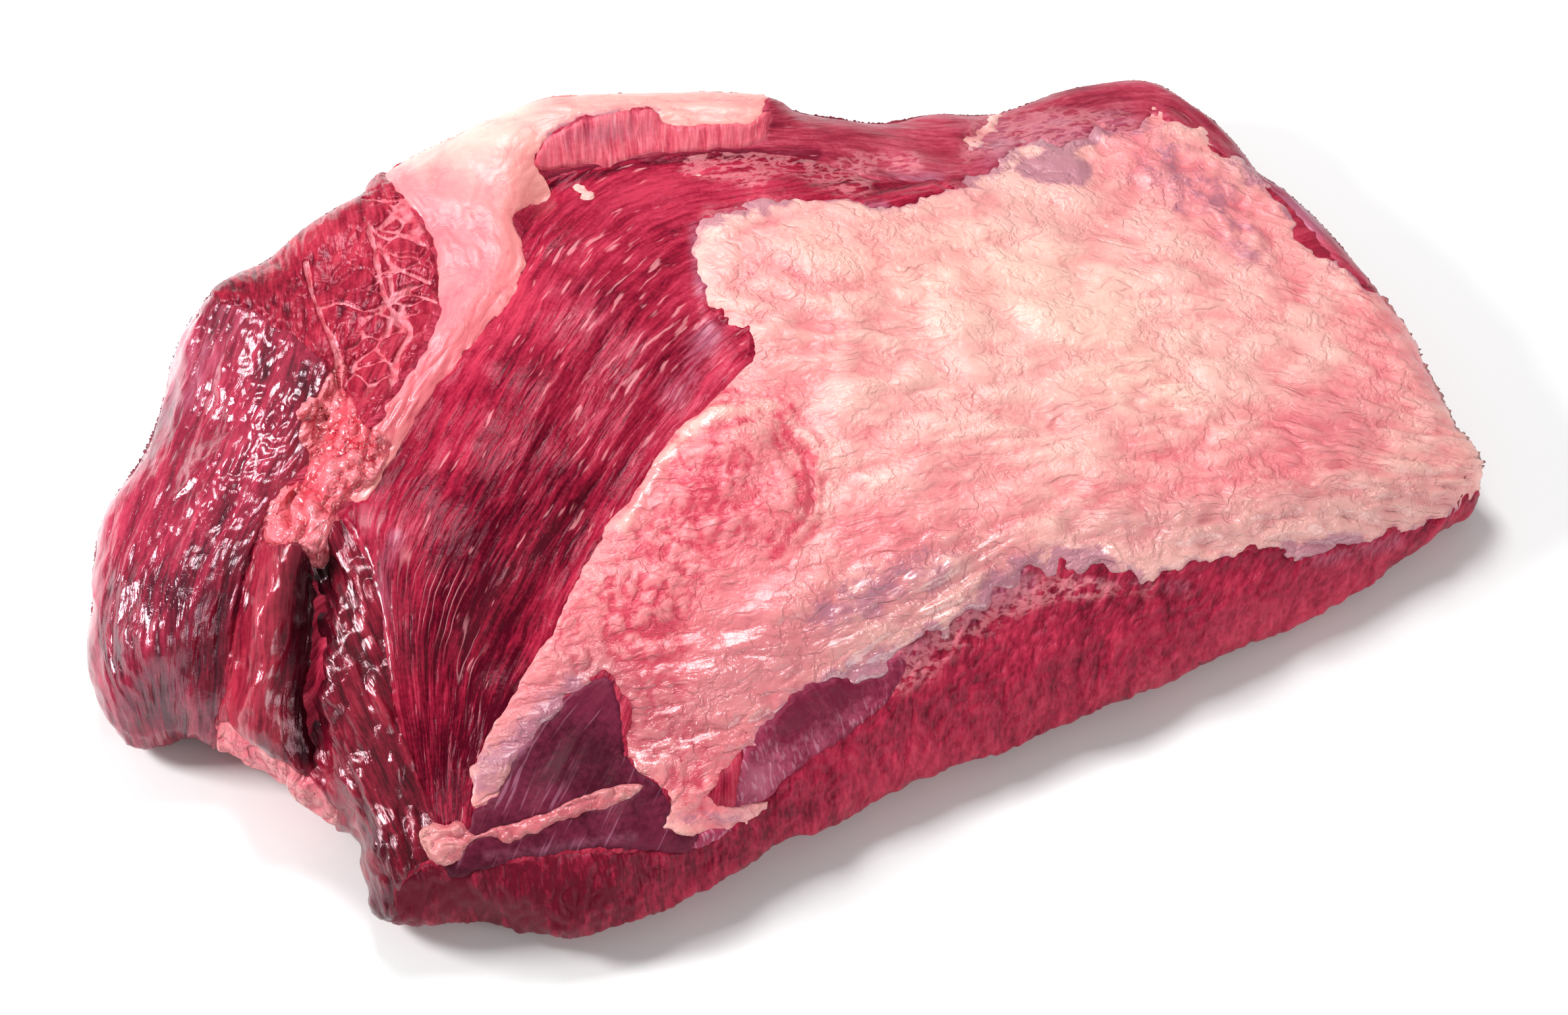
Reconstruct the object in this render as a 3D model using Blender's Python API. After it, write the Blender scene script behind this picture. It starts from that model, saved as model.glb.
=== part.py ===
"""Whole packer brisket of raw beef, fat side up, as one closed solid.

Metres, +Z up. X runs from the thick point end (-X) to the thin flat end (+X), Y from the front
edge (-Y) to the back edge. The origin is under the middle of the meat, on the face it rests on.

The body is lofted like a hull: stations round the rim give the plan outline, the height of the
widest line and how round the shoulder and the foot are, and a grid of crown heights gives the
thickness. Swellings, grooves and the proud sheets of fat are then raised on that skin.
"""

import math
from typing import NamedTuple

import bmesh
import bpy
import numpy as np
from mathutils import Vector, noise

# Driving dimensions
LENGTH = 0.500
WIDTH = 0.315
THICKNESS = 0.086
HALF_LENGTH = LENGTH / 2
HALF_WIDTH = WIDTH / 2

# Rim stations, round the plan from the front corner of the flat end, clockwise seen from above:
# x and y as shares of the half length and the half width, then shares of THICKNESS:
# height of the widest line, radius of the shoulder above it, radius of the foot below it.
RIM = (
    (0.985, -0.61, 0.20, 0.16, 0.14),
    (0.85, -0.69, 0.17, 0.34, 0.16),
    (0.68, -0.775, 0.16, 0.46, 0.18),
    (0.44, -0.845, 0.17, 0.54, 0.20),
    (0.20, -0.89, 0.18, 0.58, 0.22),
    (-0.02, -0.93, 0.20, 0.56, 0.22),
    (-0.17, -0.97, 0.22, 0.46, 0.22),
    (-0.36, -1.03, 0.22, 0.28, 0.20),
    (-0.525, -1.012, 0.22, 0.20, 0.18),
    (-0.645, -0.905, 0.22, 0.20, 0.18),
    (-0.735, -0.835, 0.24, 0.24, 0.18),
    (-0.735, -0.655, 0.28, 0.30, 0.28),
    (-0.79, -0.53, 0.30, 0.34, 0.30),
    (-0.86, -0.345, 0.30, 0.40, 0.30),
    (-0.925, -0.23, 0.32, 0.56, 0.28),
    (-1.00, -0.21, 0.32, 0.66, 0.26),
    (-0.985, 0.02, 0.38, 0.68, 0.30),
    (-0.93, 0.215, 0.42, 0.64, 0.32),
    (-0.845, 0.385, 0.42, 0.54, 0.32),
    (-0.78, 0.60, 0.44, 0.44, 0.32),
    (-0.69, 0.76, 0.42, 0.38, 0.32),
    (-0.55, 0.825, 0.40, 0.36, 0.32),
    (-0.37, 0.945, 0.40, 0.36, 0.32),
    (-0.13, 1.015, 0.40, 0.36, 0.30),
    (0.10, 0.955, 0.36, 0.36, 0.28),
    (0.26, 0.895, 0.30, 0.34, 0.24),
    (0.44, 0.85, 0.24, 0.28, 0.20),
    (0.62, 0.825, 0.22, 0.24, 0.18),
    (0.775, 0.825, 0.20, 0.20, 0.16),
    (0.835, 0.765, 0.18, 0.16, 0.14),
    (0.895, 0.575, 0.16, 0.14, 0.12),
    (0.935, 0.32, 0.16, 0.14, 0.12),
    (0.98, 0.03, 0.16, 0.14, 0.12),
    (0.99, -0.24, 0.17, 0.14, 0.12),
    (0.98, -0.48, 0.19, 0.15, 0.13),
)

# Crown: height of the top as a share of THICKNESS. Rows run from the point end to the flat end,
# columns from the front edge to the back edge.
CROWN_X = (-1.0, -0.6, -0.2, 0.2, 0.6, 1.0)
CROWN_Y = (-1.0, -0.62, -0.24, 0.14, 0.52, 0.9)
CROWN = (
    (0.40, 0.56, 0.74, 0.82, 0.80, 0.74),
    (0.46, 0.64, 0.86, 0.96, 0.96, 0.90),
    (0.46, 0.64, 0.86, 0.98, 0.95, 0.98),
    (0.46, 0.61, 0.76, 0.83, 0.84, 0.82),
    (0.42, 0.51, 0.58, 0.59, 0.57, 0.52),
    (0.33, 0.38, 0.40, 0.40, 0.38, 0.35),
)

# The rays that fill the outline end on this stretch of the middle line.
SPINE_FROM = -0.52 * HALF_LENGTH
SPINE_TO = 0.66 * HALF_LENGTH

# Sampling of the skin
ROUND_COUNT = 320
TOP_RINGS = 56
FOOT_RINGS = 44
RING_GATHER = 2.2
HULL_CELL = 0.0030
SKIN_CELL = 0.0026
MOST_TRIANGLES = 11600
FLAT_WITHIN = 0.0006
FOOT_KEPT_BARE = 0.004


class Relief(NamedTuple):
    """A swelling (height above 0) or a groove (below 0) along a path on the skin."""

    name: str
    path: tuple
    radius: float
    height: float


# Paths are places on the skin in metres, from the photograph's landmarks.
RELIEFS = (
    Relief("back hump", ((-0.050, 0.132, 0.076), (-0.010, 0.137, 0.080), (0.027, 0.131, 0.078),
                         (0.046, 0.122, 0.074)), 0.015, 0.0035),
    Relief("valley under the back hump",
           ((-0.046, 0.108, 0.083), (-0.011, 0.108, 0.081), (0.036, 0.103, 0.077),
            (0.060, 0.094, 0.072), (0.085, 0.092, 0.066)), 0.008, -0.0055),
    Relief("dip of the back edge", ((0.095, 0.118, 0.052), (0.125, 0.112, 0.048)), 0.030, -0.0050),
    Relief("seam beside the deckle fat",
           ((-0.044, 0.106, 0.083), (-0.058, 0.094, 0.083), (-0.062, 0.074, 0.083),
            (-0.076, 0.055, 0.084), (-0.101, 0.032, 0.085), (-0.125, 0.009, 0.083),
            (-0.143, -0.009, 0.080)), 0.0045, -0.0050),
    Relief("seam beside the point end",
           ((-0.135, 0.050, 0.084), (-0.150, 0.028, 0.083), (-0.162, 0.010, 0.080),
            (-0.178, -0.003, 0.077), (-0.194, -0.021, 0.073), (-0.205, -0.037, 0.064),
            (-0.211, -0.048, 0.053), (-0.219, -0.052, 0.034)), 0.007, -0.0075),
    Relief("cleft", ((-0.170, -0.027, 0.075), (-0.176, -0.036, 0.073), (-0.181, -0.048, 0.069),
                     (-0.186, -0.060, 0.063), (-0.189, -0.070, 0.055),
                     (-0.191, -0.082, 0.043)), 0.0055, -0.0150),
    Relief("fold hanging over the cleft",
           ((-0.180, -0.020, 0.075), (-0.190, -0.038, 0.070), (-0.197, -0.053, 0.060),
            (-0.203, -0.064, 0.046)), 0.0085, 0.0065),
    Relief("lip right of the cleft",
           ((-0.170, -0.045, 0.075), (-0.178, -0.064, 0.066), (-0.184, -0.082, 0.054),
            (-0.184, -0.100, 0.044)), 0.008, 0.0040),
    Relief("gristle mass", ((-0.134, 0.024, 0.084), (-0.150, 0.008, 0.082),
                            (-0.162, -0.006, 0.079), (-0.172, -0.014, 0.077)), 0.011, 0.0035),
    Relief("corner knob", ((-0.176, -0.132, 0.038), (-0.184, -0.132, 0.026)), 0.014, 0.0025),
    Relief("hollow behind the knob", ((-0.163, -0.128, 0.047), (-0.172, -0.112, 0.049)), 0.009, -0.0040),
    Relief("swell of the end lobe", ((-0.225, 0.030, 0.060), (-0.236, -0.010, 0.050)), 0.034, 0.0040),
    Relief("first furrow of the end lobe",
           ((-0.176, 0.075, 0.077), (-0.202, 0.040, 0.071), (-0.218, 0.006, 0.064)), 0.009, -0.0030),
    Relief("step at the top of the lobe", ((-0.170, 0.093, 0.074), (-0.183, 0.086, 0.070)), 0.010, 0.0045),
    Relief("long furrow of the band",
           ((-0.015, 0.006, 0.080), (-0.054, -0.022, 0.077), (-0.090, -0.052, 0.071),
            (-0.123, -0.080, 0.061), (-0.150, -0.108, 0.051)), 0.011, -0.0030),
    Relief("crest of the band",
           ((-0.040, 0.045, 0.084), (-0.084, 0.006, 0.084), (-0.119, -0.028, 0.078),
            (-0.150, -0.058, 0.068)), 0.022, 0.0030),
    Relief("puckered ring in the fat",
           ((-0.042, -0.018, 0.078), (-0.018, -0.006, 0.078), (0.006, -0.024, 0.074),
            (0.008, -0.052, 0.067), (-0.010, -0.074, 0.062)), 0.0045, -0.0020),
)

# Proud sheets of fat, as outlines seen from above in metres, and how far they stand up.
FAT_RISE = 0.0028
FAT_BEVEL = 0.0035
FAT_SHEETS = {
    "cap": (
        (0.004, 0.070), (0.000, 0.048), (-0.007, 0.028), (0.004, 0.012), (-0.010, 0.000),
        (-0.052, -0.028), (-0.086, -0.057), (-0.121, -0.090), (-0.147, -0.116), (-0.149, -0.125),
        (-0.130, -0.117), (-0.106, -0.099), (-0.088, -0.097), (-0.092, -0.120), (-0.082, -0.146),
        (-0.050, -0.149), (-0.060, -0.143), (-0.048, -0.132), (-0.020, -0.118), (0.016, -0.113),
        (0.059, -0.100), (0.075, -0.089), (0.101, -0.109), (0.155, -0.109), (0.165, -0.116),
        (0.221, -0.109), (0.250, -0.090), (0.262, -0.050), (0.250, 0.020), (0.222, 0.058),
        (0.200, 0.099), (0.178, 0.076), (0.130, 0.068), (0.096, 0.073), (0.074, 0.063),
        (0.040, 0.077),
    ),
    "deckle": (
        (-0.110, 0.160), (-0.091, 0.097), (-0.097, 0.070), (-0.110, 0.050), (-0.132, 0.026),
        (-0.150, 0.000), (-0.143, -0.007), (-0.125, 0.011), (-0.101, 0.034), (-0.077, 0.057),
        (-0.064, 0.074), (-0.060, 0.095), (-0.040, 0.124), (0.005, 0.122), (0.012, 0.112),
        (0.050, 0.116), (0.060, 0.134), (0.045, 0.190), (-0.070, 0.190),
    ),
}

# Unevenness of the whole skin: lumps of the soft fat, and bundles of muscle along the grain.
FAT_LUMP_SIZE = 0.020
FAT_LUMP_HEIGHT = 0.0016
FAT_ENDS_AT_Z = 0.009
FAT_WHOLE_FROM_Z = 0.020
MEAT_LUMP_SIZE = 0.026
MEAT_LUMP_HEIGHT = 0.0022
BUNDLE_WIDTH = 0.011
BUNDLE_LENGTH = 0.070
BUNDLE_HEIGHT = 0.0012
GRAIN_TURN_AT_POINT = math.radians(48)
GRAIN_TURN_AT_FLAT = math.radians(12)
GRAIN_TURNS_FROM_X = -0.15
GRAIN_TURNS_TO_X = 0.05
NOISE_TO_UNIT = 1.6


def cubic_between(before, first, second, after, share):
    """Value at a share of the way from first to second, on the smooth curve through all four."""
    return 0.5 * (
        2 * first
        + (second - before) * share
        + (2 * before - 5 * first + 4 * second - after) * share**2
        + (3 * first - before - 3 * second + after) * share**3
    )


def catmull_rom(values, position, closed):
    """Values at a position counted in stations, on a smooth curve through them."""
    values = np.asarray(values, float)
    count = len(values)
    position = np.asarray(position, float)
    start = np.floor(position).astype(int)
    if not closed:
        start = np.clip(start, 0, count - 2)
    share = (position - start)[..., None] if values.ndim > 1 else position - start

    def at(offset):
        index = start + offset
        return values[index % count] if closed else values[np.clip(index, 0, count - 1)]

    return cubic_between(at(-1), at(0), at(1), at(2), share)


def crown_height(x, y):
    """Height of the top surface over plan positions, before the rounded edges."""
    along = np.interp(x / HALF_LENGTH, CROWN_X, range(len(CROWN_X)))
    across = np.interp(y / HALF_WIDTH, CROWN_Y, range(len(CROWN_Y)))
    rows = np.stack([catmull_rom(row, across, closed=False) for row in CROWN], axis=-1)
    start = np.clip(np.floor(along).astype(int), 0, len(CROWN_X) - 2)
    picks = [np.clip(start + step, 0, len(CROWN_X) - 1) for step in (-1, 0, 1, 2)]
    four = [np.take_along_axis(rows, pick[..., None], -1)[..., 0] for pick in picks]
    return THICKNESS * cubic_between(*four, along - start)


def hull_rings():
    """Rings of points from the middle of the top, over the rim, to the middle of the foot."""
    around = np.arange(ROUND_COUNT) * len(RIM) / ROUND_COUNT
    rim = catmull_rom(RIM, around, closed=True)
    x, y = rim[:, 0] * HALF_LENGTH, rim[:, 1] * HALF_WIDTH
    widest, shoulder, foot = (rim[:, 2:] * THICKNESS).T
    spine_x = np.clip(x, SPINE_FROM, SPINE_TO)
    reach = np.hypot(spine_x - x, y)

    def plan(inset):
        share = np.clip(inset / reach, 0.0, 1.0)
        return x + (spine_x - x) * share, y * (1 - share)

    rings = []
    for step in range(TOP_RINGS, -1, -1):
        turn = step / TOP_RINGS
        inset = shoulder * (1 - np.cos(turn * math.pi / 2)) + (reach - shoulder) * turn**RING_GATHER
        px, py = plan(inset)
        rise = 1 - np.clip(1 - inset / shoulder, 0.0, 1.0) ** 2
        pz = widest + (crown_height(px, py) - widest) * np.sqrt(rise)
        rings.append(np.stack([px, py, pz], axis=1))
    for step in range(1, FOOT_RINGS + 1):
        turn = step / FOOT_RINGS
        inset = foot * (1 - np.cos(turn * math.pi / 2)) + (reach - foot) * turn**RING_GATHER
        px, py = plan(inset)
        drop = 1 - np.clip(1 - inset / foot, 0.0, 1.0) ** 2
        rings.append(np.stack([px, py, widest * (1 - np.sqrt(drop))], axis=1))
    return rings


def hull_object(name):
    """Mesh object of the lofted rings, closed at the middle lines."""
    mesh = bpy.data.meshes.new(name)
    bm = bmesh.new()
    rings = [[bm.verts.new(p) for p in ring] for ring in hull_rings()]
    for upper, lower in zip(rings, rings[1:]):
        for i in range(ROUND_COUNT):
            j = (i + 1) % ROUND_COUNT
            bm.faces.new((upper[i], lower[i], lower[j], upper[j]))
    bmesh.ops.remove_doubles(bm, verts=bm.verts, dist=1e-6)
    bmesh.ops.holes_fill(bm, edges=[edge for edge in bm.edges if edge.is_boundary])
    bmesh.ops.recalc_face_normals(bm, faces=bm.faces)
    bm.to_mesh(mesh)
    bm.free()
    body = bpy.data.objects.new(name, mesh)
    bpy.context.scene.collection.objects.link(body)
    return body


def apply_modifier(body, kind, **settings):
    """Adds a modifier with these settings and applies it."""
    modifier = body.modifiers.new(kind.title(), kind)
    for key, value in settings.items():
        setattr(modifier, key, value)
    bpy.ops.object.select_all(action="DESELECT")
    bpy.context.view_layer.objects.active = body
    body.select_set(True)
    bpy.ops.object.modifier_apply(modifier=modifier.name)


def distance_to_path(points, path):
    """Shortest distance of each point to a line through the path's points."""
    path = np.asarray(path, float)
    nearest = np.full(len(points), np.inf)
    for start, end in zip(path, path[1:]):
        run = end - start
        share = np.clip((points - start) @ run / (run @ run), 0.0, 1.0)
        gap = np.linalg.norm(points - (start + share[:, None] * run), axis=1)
        nearest = np.minimum(nearest, gap)
    return nearest


def depth_inside(plan, outline):
    """Distance of each plan point to a closed outline, above 0 inside it."""
    outline = np.asarray(outline, float)
    inside = np.zeros(len(plan), bool)
    x, y = plan.T
    for (ax, ay), (bx, by) in zip(outline, np.roll(outline, -1, axis=0)):
        crosses = (ay > y) != (by > y)
        run = np.where(by == ay, 1e-12, by - ay)
        inside ^= crosses & (x < ax + (bx - ax) * (y - ay) / run)
    gap = distance_to_path(plan, np.vstack([outline, outline[:1]]))
    return np.where(inside, gap, -gap)


def smooth_step(value, low, high):
    """0 below low, 1 above high, and a smooth rise between."""
    share = np.clip((value - low) / (high - low), 0.0, 1.0)
    return share * share * (3 - 2 * share)


def lumps(points, size):
    """Smooth noise of about -1 to 1 with lumps of this size."""
    return NOISE_TO_UNIT * np.array([noise.noise(Vector(point)) for point in points / size])


def bundles(points):
    """Ridges along the grain, which turns from the point end to the flat end."""
    x, y, z = points.T
    share = smooth_step(x, GRAIN_TURNS_FROM_X, GRAIN_TURNS_TO_X)
    turn = GRAIN_TURN_AT_POINT + (GRAIN_TURN_AT_FLAT - GRAIN_TURN_AT_POINT) * share
    along = x * np.cos(turn) + y * np.sin(turn)
    across = y * np.cos(turn) - x * np.sin(turn)
    stretched = np.stack([along / BUNDLE_LENGTH, across / BUNDLE_WIDTH, z / BUNDLE_WIDTH], axis=1)
    return lumps(stretched, 1.0)


def raise_relief(body):
    """Moves the skin along its normals by the swellings, grooves, fat sheets and lumps."""
    count = len(body.data.vertices)
    points, normals = np.empty(count * 3), np.empty(count * 3)
    body.data.vertices.foreach_get("co", points)
    body.data.vertices.foreach_get("normal", normals)
    points, normals = points.reshape(-1, 3), normals.reshape(-1, 3)
    rise = np.zeros(count)
    for relief in RELIEFS:
        share = distance_to_path(points, relief.path) / relief.radius
        rise += relief.height * np.exp(-(share**2))
    fat = np.zeros(count)
    for outline in FAT_SHEETS.values():
        depth = depth_inside(points[:, :2], outline)
        fat = np.maximum(fat, smooth_step(depth, -FAT_BEVEL / 2, FAT_BEVEL / 2))
    fat *= smooth_step(points[:, 2], FAT_ENDS_AT_Z, FAT_WHOLE_FROM_Z)
    rise += fat * (FAT_RISE + FAT_LUMP_HEIGHT * lumps(points, FAT_LUMP_SIZE))
    meat = MEAT_LUMP_HEIGHT * lumps(points, MEAT_LUMP_SIZE) + BUNDLE_HEIGHT * bundles(points)
    rise += (1 - fat) * meat
    rise *= smooth_step(points[:, 2], 0.0, FOOT_KEPT_BARE)
    moved = points + normals * rise[:, None]
    body.data.vertices.foreach_set("co", moved.ravel())
    body.data.update()


def centre_over_origin(body):
    """Sets the middle of the outline over the origin and the foot on the floor."""
    points = np.array([vertex.co for vertex in body.data.vertices])
    low, high = points.min(axis=0), points.max(axis=0)
    shift = Vector((-(low[0] + high[0]) / 2, -(low[1] + high[1]) / 2, -low[2]))
    for vertex in body.data.vertices:
        vertex.co += shift


def snap_foot(body):
    """Makes the face it rests on truly flat."""
    for vertex in body.data.vertices:
        if abs(vertex.co.z) < FLAT_WITHIN:
            vertex.co.z = 0.0


def meat_material():
    """Deep red raw meat with a damp shine."""
    material = bpy.data.materials.new("raw_beef")
    material.use_nodes = True
    shader = material.node_tree.nodes["Principled BSDF"]
    shader.inputs["Base Color"].default_value = (0.42, 0.05, 0.08, 1.0)
    shader.inputs["Roughness"].default_value = 0.4
    shader.inputs["Metallic"].default_value = 0.0
    return material


def main():
    for old in list(bpy.data.objects):
        bpy.data.objects.remove(old)
    body = hull_object("brisket")
    apply_modifier(body, "REMESH", mode="VOXEL", voxel_size=HULL_CELL)
    raise_relief(body)
    apply_modifier(body, "REMESH", mode="VOXEL", voxel_size=SKIN_CELL)
    triangles = 2 * len(body.data.polygons)
    apply_modifier(body, "DECIMATE", ratio=MOST_TRIANGLES / triangles)
    centre_over_origin(body)
    snap_foot(body)
    body.data.materials.append(meat_material())
    body.data.shade_smooth()


main()
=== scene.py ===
"""Looks of a whole raw beef brisket, fat side up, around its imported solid.

The solid's skin is copied and smoothed. Each muscle, sheet of fat and membrane is then lifted off
that skin as a closed sheet of its own, cut to the outline that it has in the picture, divided
finely, and given its fibres, folds or lobules as real relief. Places in the picture are written in
its own pixels, 2380 across and 1541 down. All other sizes are in metres.
"""

import itertools
import logging
import math
from dataclasses import dataclass, field
from enum import Enum

import bpy
import numpy as np
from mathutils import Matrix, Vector


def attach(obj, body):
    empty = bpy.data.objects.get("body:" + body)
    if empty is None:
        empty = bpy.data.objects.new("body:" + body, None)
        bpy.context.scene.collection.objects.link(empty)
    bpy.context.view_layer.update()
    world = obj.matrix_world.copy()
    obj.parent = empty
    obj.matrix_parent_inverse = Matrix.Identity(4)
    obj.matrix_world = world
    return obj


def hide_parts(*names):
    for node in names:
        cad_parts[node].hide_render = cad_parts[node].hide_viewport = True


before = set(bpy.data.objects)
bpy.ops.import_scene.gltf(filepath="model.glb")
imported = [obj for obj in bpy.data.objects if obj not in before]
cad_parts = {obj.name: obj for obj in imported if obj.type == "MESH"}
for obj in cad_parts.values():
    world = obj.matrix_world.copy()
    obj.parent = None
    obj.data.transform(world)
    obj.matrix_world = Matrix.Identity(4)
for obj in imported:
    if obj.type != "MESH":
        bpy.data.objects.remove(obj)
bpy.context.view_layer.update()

LOG = logging.getLogger("brisket")
BODY = "root"
NODE = "brisket"

Array = np.ndarray
Colour = tuple[float, float, float]
Pixel = tuple[float, float]


# Numbers and noise


def smooth_step(value: Array, low: float, high: float) -> Array:
    """Rises smoothly from 0 at low to 1 at high.

    Args:
        value: The numbers to map.
        low: Where the rise starts.
        high: Where it ends. It may lie below low, and the step then falls.

    Returns:
        Numbers from 0 to 1.
    """
    share = np.clip((value - low) / (high - low), 0.0, 1.0)
    return share * share * (3 - 2 * share)


class Noise:
    """Seeded smooth noise in space, for the unevenness of meat and fat."""

    TABLE = 256
    REACH = 1.5

    def __init__(self, seed: int) -> None:
        """Args:
            seed: Which of the endless patterns this is.
        """
        draw = np.random.default_rng(seed)
        self.order = draw.permutation(self.TABLE)
        slopes = draw.normal(size=(self.TABLE, 3))
        self.slopes = slopes / np.linalg.norm(slopes, axis=1, keepdims=True)
        self.seats = draw.random((self.TABLE, 3))

    def _pick(self, cell: Array) -> Array:
        """Table row of each whole-number cell."""
        mask = self.TABLE - 1
        first = self.order[cell[:, 0] & mask]
        second = self.order[(first + cell[:, 1]) & mask]
        return self.order[(second + cell[:, 2]) & mask]

    def swell(self, points: Array) -> Array:
        """Smooth swells of about 1 unit, from about -1 to 1.

        Args:
            points: Places, one row each.

        Returns:
            One height for each place.
        """
        cell = np.floor(points).astype(np.int64)
        local = points - cell
        fade = local**3 * (local * (local * 6 - 15) + 10)
        total = np.zeros(len(points))
        for corner in itertools.product((0, 1), repeat=3):
            slope = self.slopes[self._pick(cell + corner)]
            weight = np.prod(np.where(corner, fade, 1 - fade), axis=1)
            total += weight * np.einsum("ij,ij->i", slope, local - corner)
        return np.clip(total * self.REACH, -1.0, 1.0)

    def cells(self, points: Array) -> tuple[Array, Array]:
        """Distances to the nearest and the second nearest of scattered seeds, one to a unit cell.

        Args:
            points: Places, one row each.

        Returns:
            The nearest and the second nearest distance.
        """
        cell = np.floor(points).astype(np.int64)
        nearest = np.full(len(points), 9.0)
        second = np.full(len(points), 9.0)
        for step in itertools.product((-1, 0, 1), repeat=3):
            near = cell + step
            gap = np.linalg.norm(near + self.seats[self._pick(near)] - points, axis=1)
            second = np.minimum(second, np.maximum(nearest, gap))
            nearest = np.minimum(nearest, gap)
        return nearest, second


class Form(Enum):
    """How one layer of unevenness is shaped."""

    SWELLS = "swells"
    CRESTS = "crests"
    CREASES = "creases"
    BEADS = "beads"


@dataclass(frozen=True)
class Layer:
    """One layer of relief.

    Attributes:
        form: Shape of its lumps.
        along: Their length along the grain.
        across: Their width across it.
        height: Their height.
        seed: Which pattern the layer has.
        where: The tint that it fades with. Without one, it lies everywhere.
        lanes: Grain that it follows in place of the sheet's own.
    """

    form: Form
    along: float
    across: float
    height: float
    seed: int
    where: str = ""
    lanes: "Lanes | None" = None

    SWAY = 0.55
    SWAY_SIZE = 0.45
    BEAD_GAIN = 1.6
    CREASE_GAIN = 3.0

    def rise(self, grain: Array) -> Array:
        """Height of the layer, from about -1 to 1 times its height.

        Args:
            grain: Places as metres along the grain, across it and through the meat.

        Returns:
            One height in metres for each place.
        """
        noise = Noise(self.seed)
        points = grain / np.array([self.along, self.across, self.across]) + self.seed
        points[:, 1] += self.SWAY * noise.swell(points * self.SWAY_SIZE + self.seed)
        if self.form is Form.BEADS:
            nearest, second = noise.cells(points)
            return self.height * (2 * np.clip(self.BEAD_GAIN * (second - nearest), 0, 1) - 1)
        swell = noise.swell(points)
        if self.form is Form.CRESTS:
            swell = 1 - 2 * np.abs(swell)
        elif self.form is Form.CREASES:
            swell = self.CREASE_GAIN * np.abs(swell) - 1
        return self.height * np.clip(swell, -1, 1)


# Places in the picture


@dataclass(frozen=True)
class PictureView:
    """The camera of the picture, which also says where a place on the meat shows in it."""

    azimuth: float = math.radians(-20.0)
    elevation: float = math.radians(52.0)
    distance: float = 1.567
    target: tuple[float, float, float] = (0.0015, -0.026, 0.030)
    lens: float = 100.0
    sensor: float = 36.0
    width: int = 2380
    height: int = 1541

    @property
    def focal(self) -> float:
        """Distance to the picture plane, in pixels."""
        return self.lens / self.sensor * self.width

    @property
    def pixels_per_metre(self) -> float:
        """Scale of the picture at the middle of the meat."""
        return self.focal / self.distance

    def axes(self) -> tuple[Array, Array, Array]:
        """Directions from the meat to the camera, to the picture's right, and up in it."""
        turn, rise = self.azimuth, self.elevation
        back = np.array([math.sin(turn) * math.cos(rise), -math.cos(turn) * math.cos(rise),
                         math.sin(rise)])
        right = np.array([math.cos(turn), math.sin(turn), 0.0])
        return back, right, np.cross(back, right)

    def project(self, points: Array) -> Array:
        """Where points show in the picture.

        Args:
            points: Places in metres, one row each.

        Returns:
            Pixels across and down, one row each.
        """
        back, right, up = self.axes()
        offset = points - (np.array(self.target) + back * self.distance)
        depth = -(offset @ back)
        across = self.width / 2 + self.focal * (offset @ right) / depth
        down = self.height / 2 - self.focal * (offset @ up) / depth
        return np.stack([across, down], axis=1)

    def place_camera(self) -> None:
        """Makes the camera and hands it to the scene."""
        back, _, _ = self.axes()
        data = bpy.data.cameras.new("picture_camera")
        data.lens = self.lens
        data.sensor_width = self.sensor
        camera = bpy.data.objects.new("picture_camera", data)
        bpy.context.scene.collection.objects.link(camera)
        camera.location = Vector(self.target) + Vector(back) * self.distance
        camera.rotation_mode = "QUATERNION"
        camera.rotation_quaternion = (-Vector(back)).to_track_quat("-Z", "Y")
        bpy.context.scene.camera = camera


VIEW = PictureView()


def rounded(points: Array, steps: int, closed: bool) -> Array:
    """Points on a smooth curve through the given ones.

    Args:
        points: The places that the curve passes.
        steps: How many points to make between two places.
        closed: Whether the curve returns to its start.

    Returns:
        The points of the curve, one row each.
    """
    if closed:
        ringed = np.vstack([points[-1:], points, points[:2]])
    else:
        ringed = np.vstack([2 * points[0] - points[1], points, 2 * points[-1] - points[-2]])
    made = []
    for before, first, second, after in zip(ringed, ringed[1:], ringed[2:], ringed[3:]):
        for share in np.arange(steps) / steps:
            made.append(0.5 * (
                2 * first + (second - before) * share
                + (2 * before - 5 * first + 4 * second - after) * share**2
                + (3 * first - before - 3 * second + after) * share**3
            ))
    if not closed:
        made.append(points[-1])
    return np.array(made)


def nearest_on(line: Array, pixels: Array) -> tuple[Array, Array, Array]:
    """Nearest point of a line of points, for many pixels.

    Args:
        line: The line's points, one row each.
        pixels: The pixels asked about, one row each.

    Returns:
        Distance, which side (above 0 right of the line's run), and how far along the line.
    """
    best = np.full(len(pixels), np.inf)
    side = np.zeros(len(pixels))
    along = np.zeros(len(pixels))
    passed = 0.0
    for start, end in zip(line, line[1:]):
        run = end - start
        length = math.hypot(*run)
        offset = pixels - start
        share = np.clip((offset @ run) / length**2, 0.0, 1.0)
        gap = np.hypot(offset[:, 0] - share * run[0], offset[:, 1] - share * run[1])
        nearer = gap < best
        best = np.where(nearer, gap, best)
        side = np.where(nearer, run[0] * offset[:, 1] - run[1] * offset[:, 0], side)
        along = np.where(nearer, passed + share * length, along)
        passed += length
    return best, side, along


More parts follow.
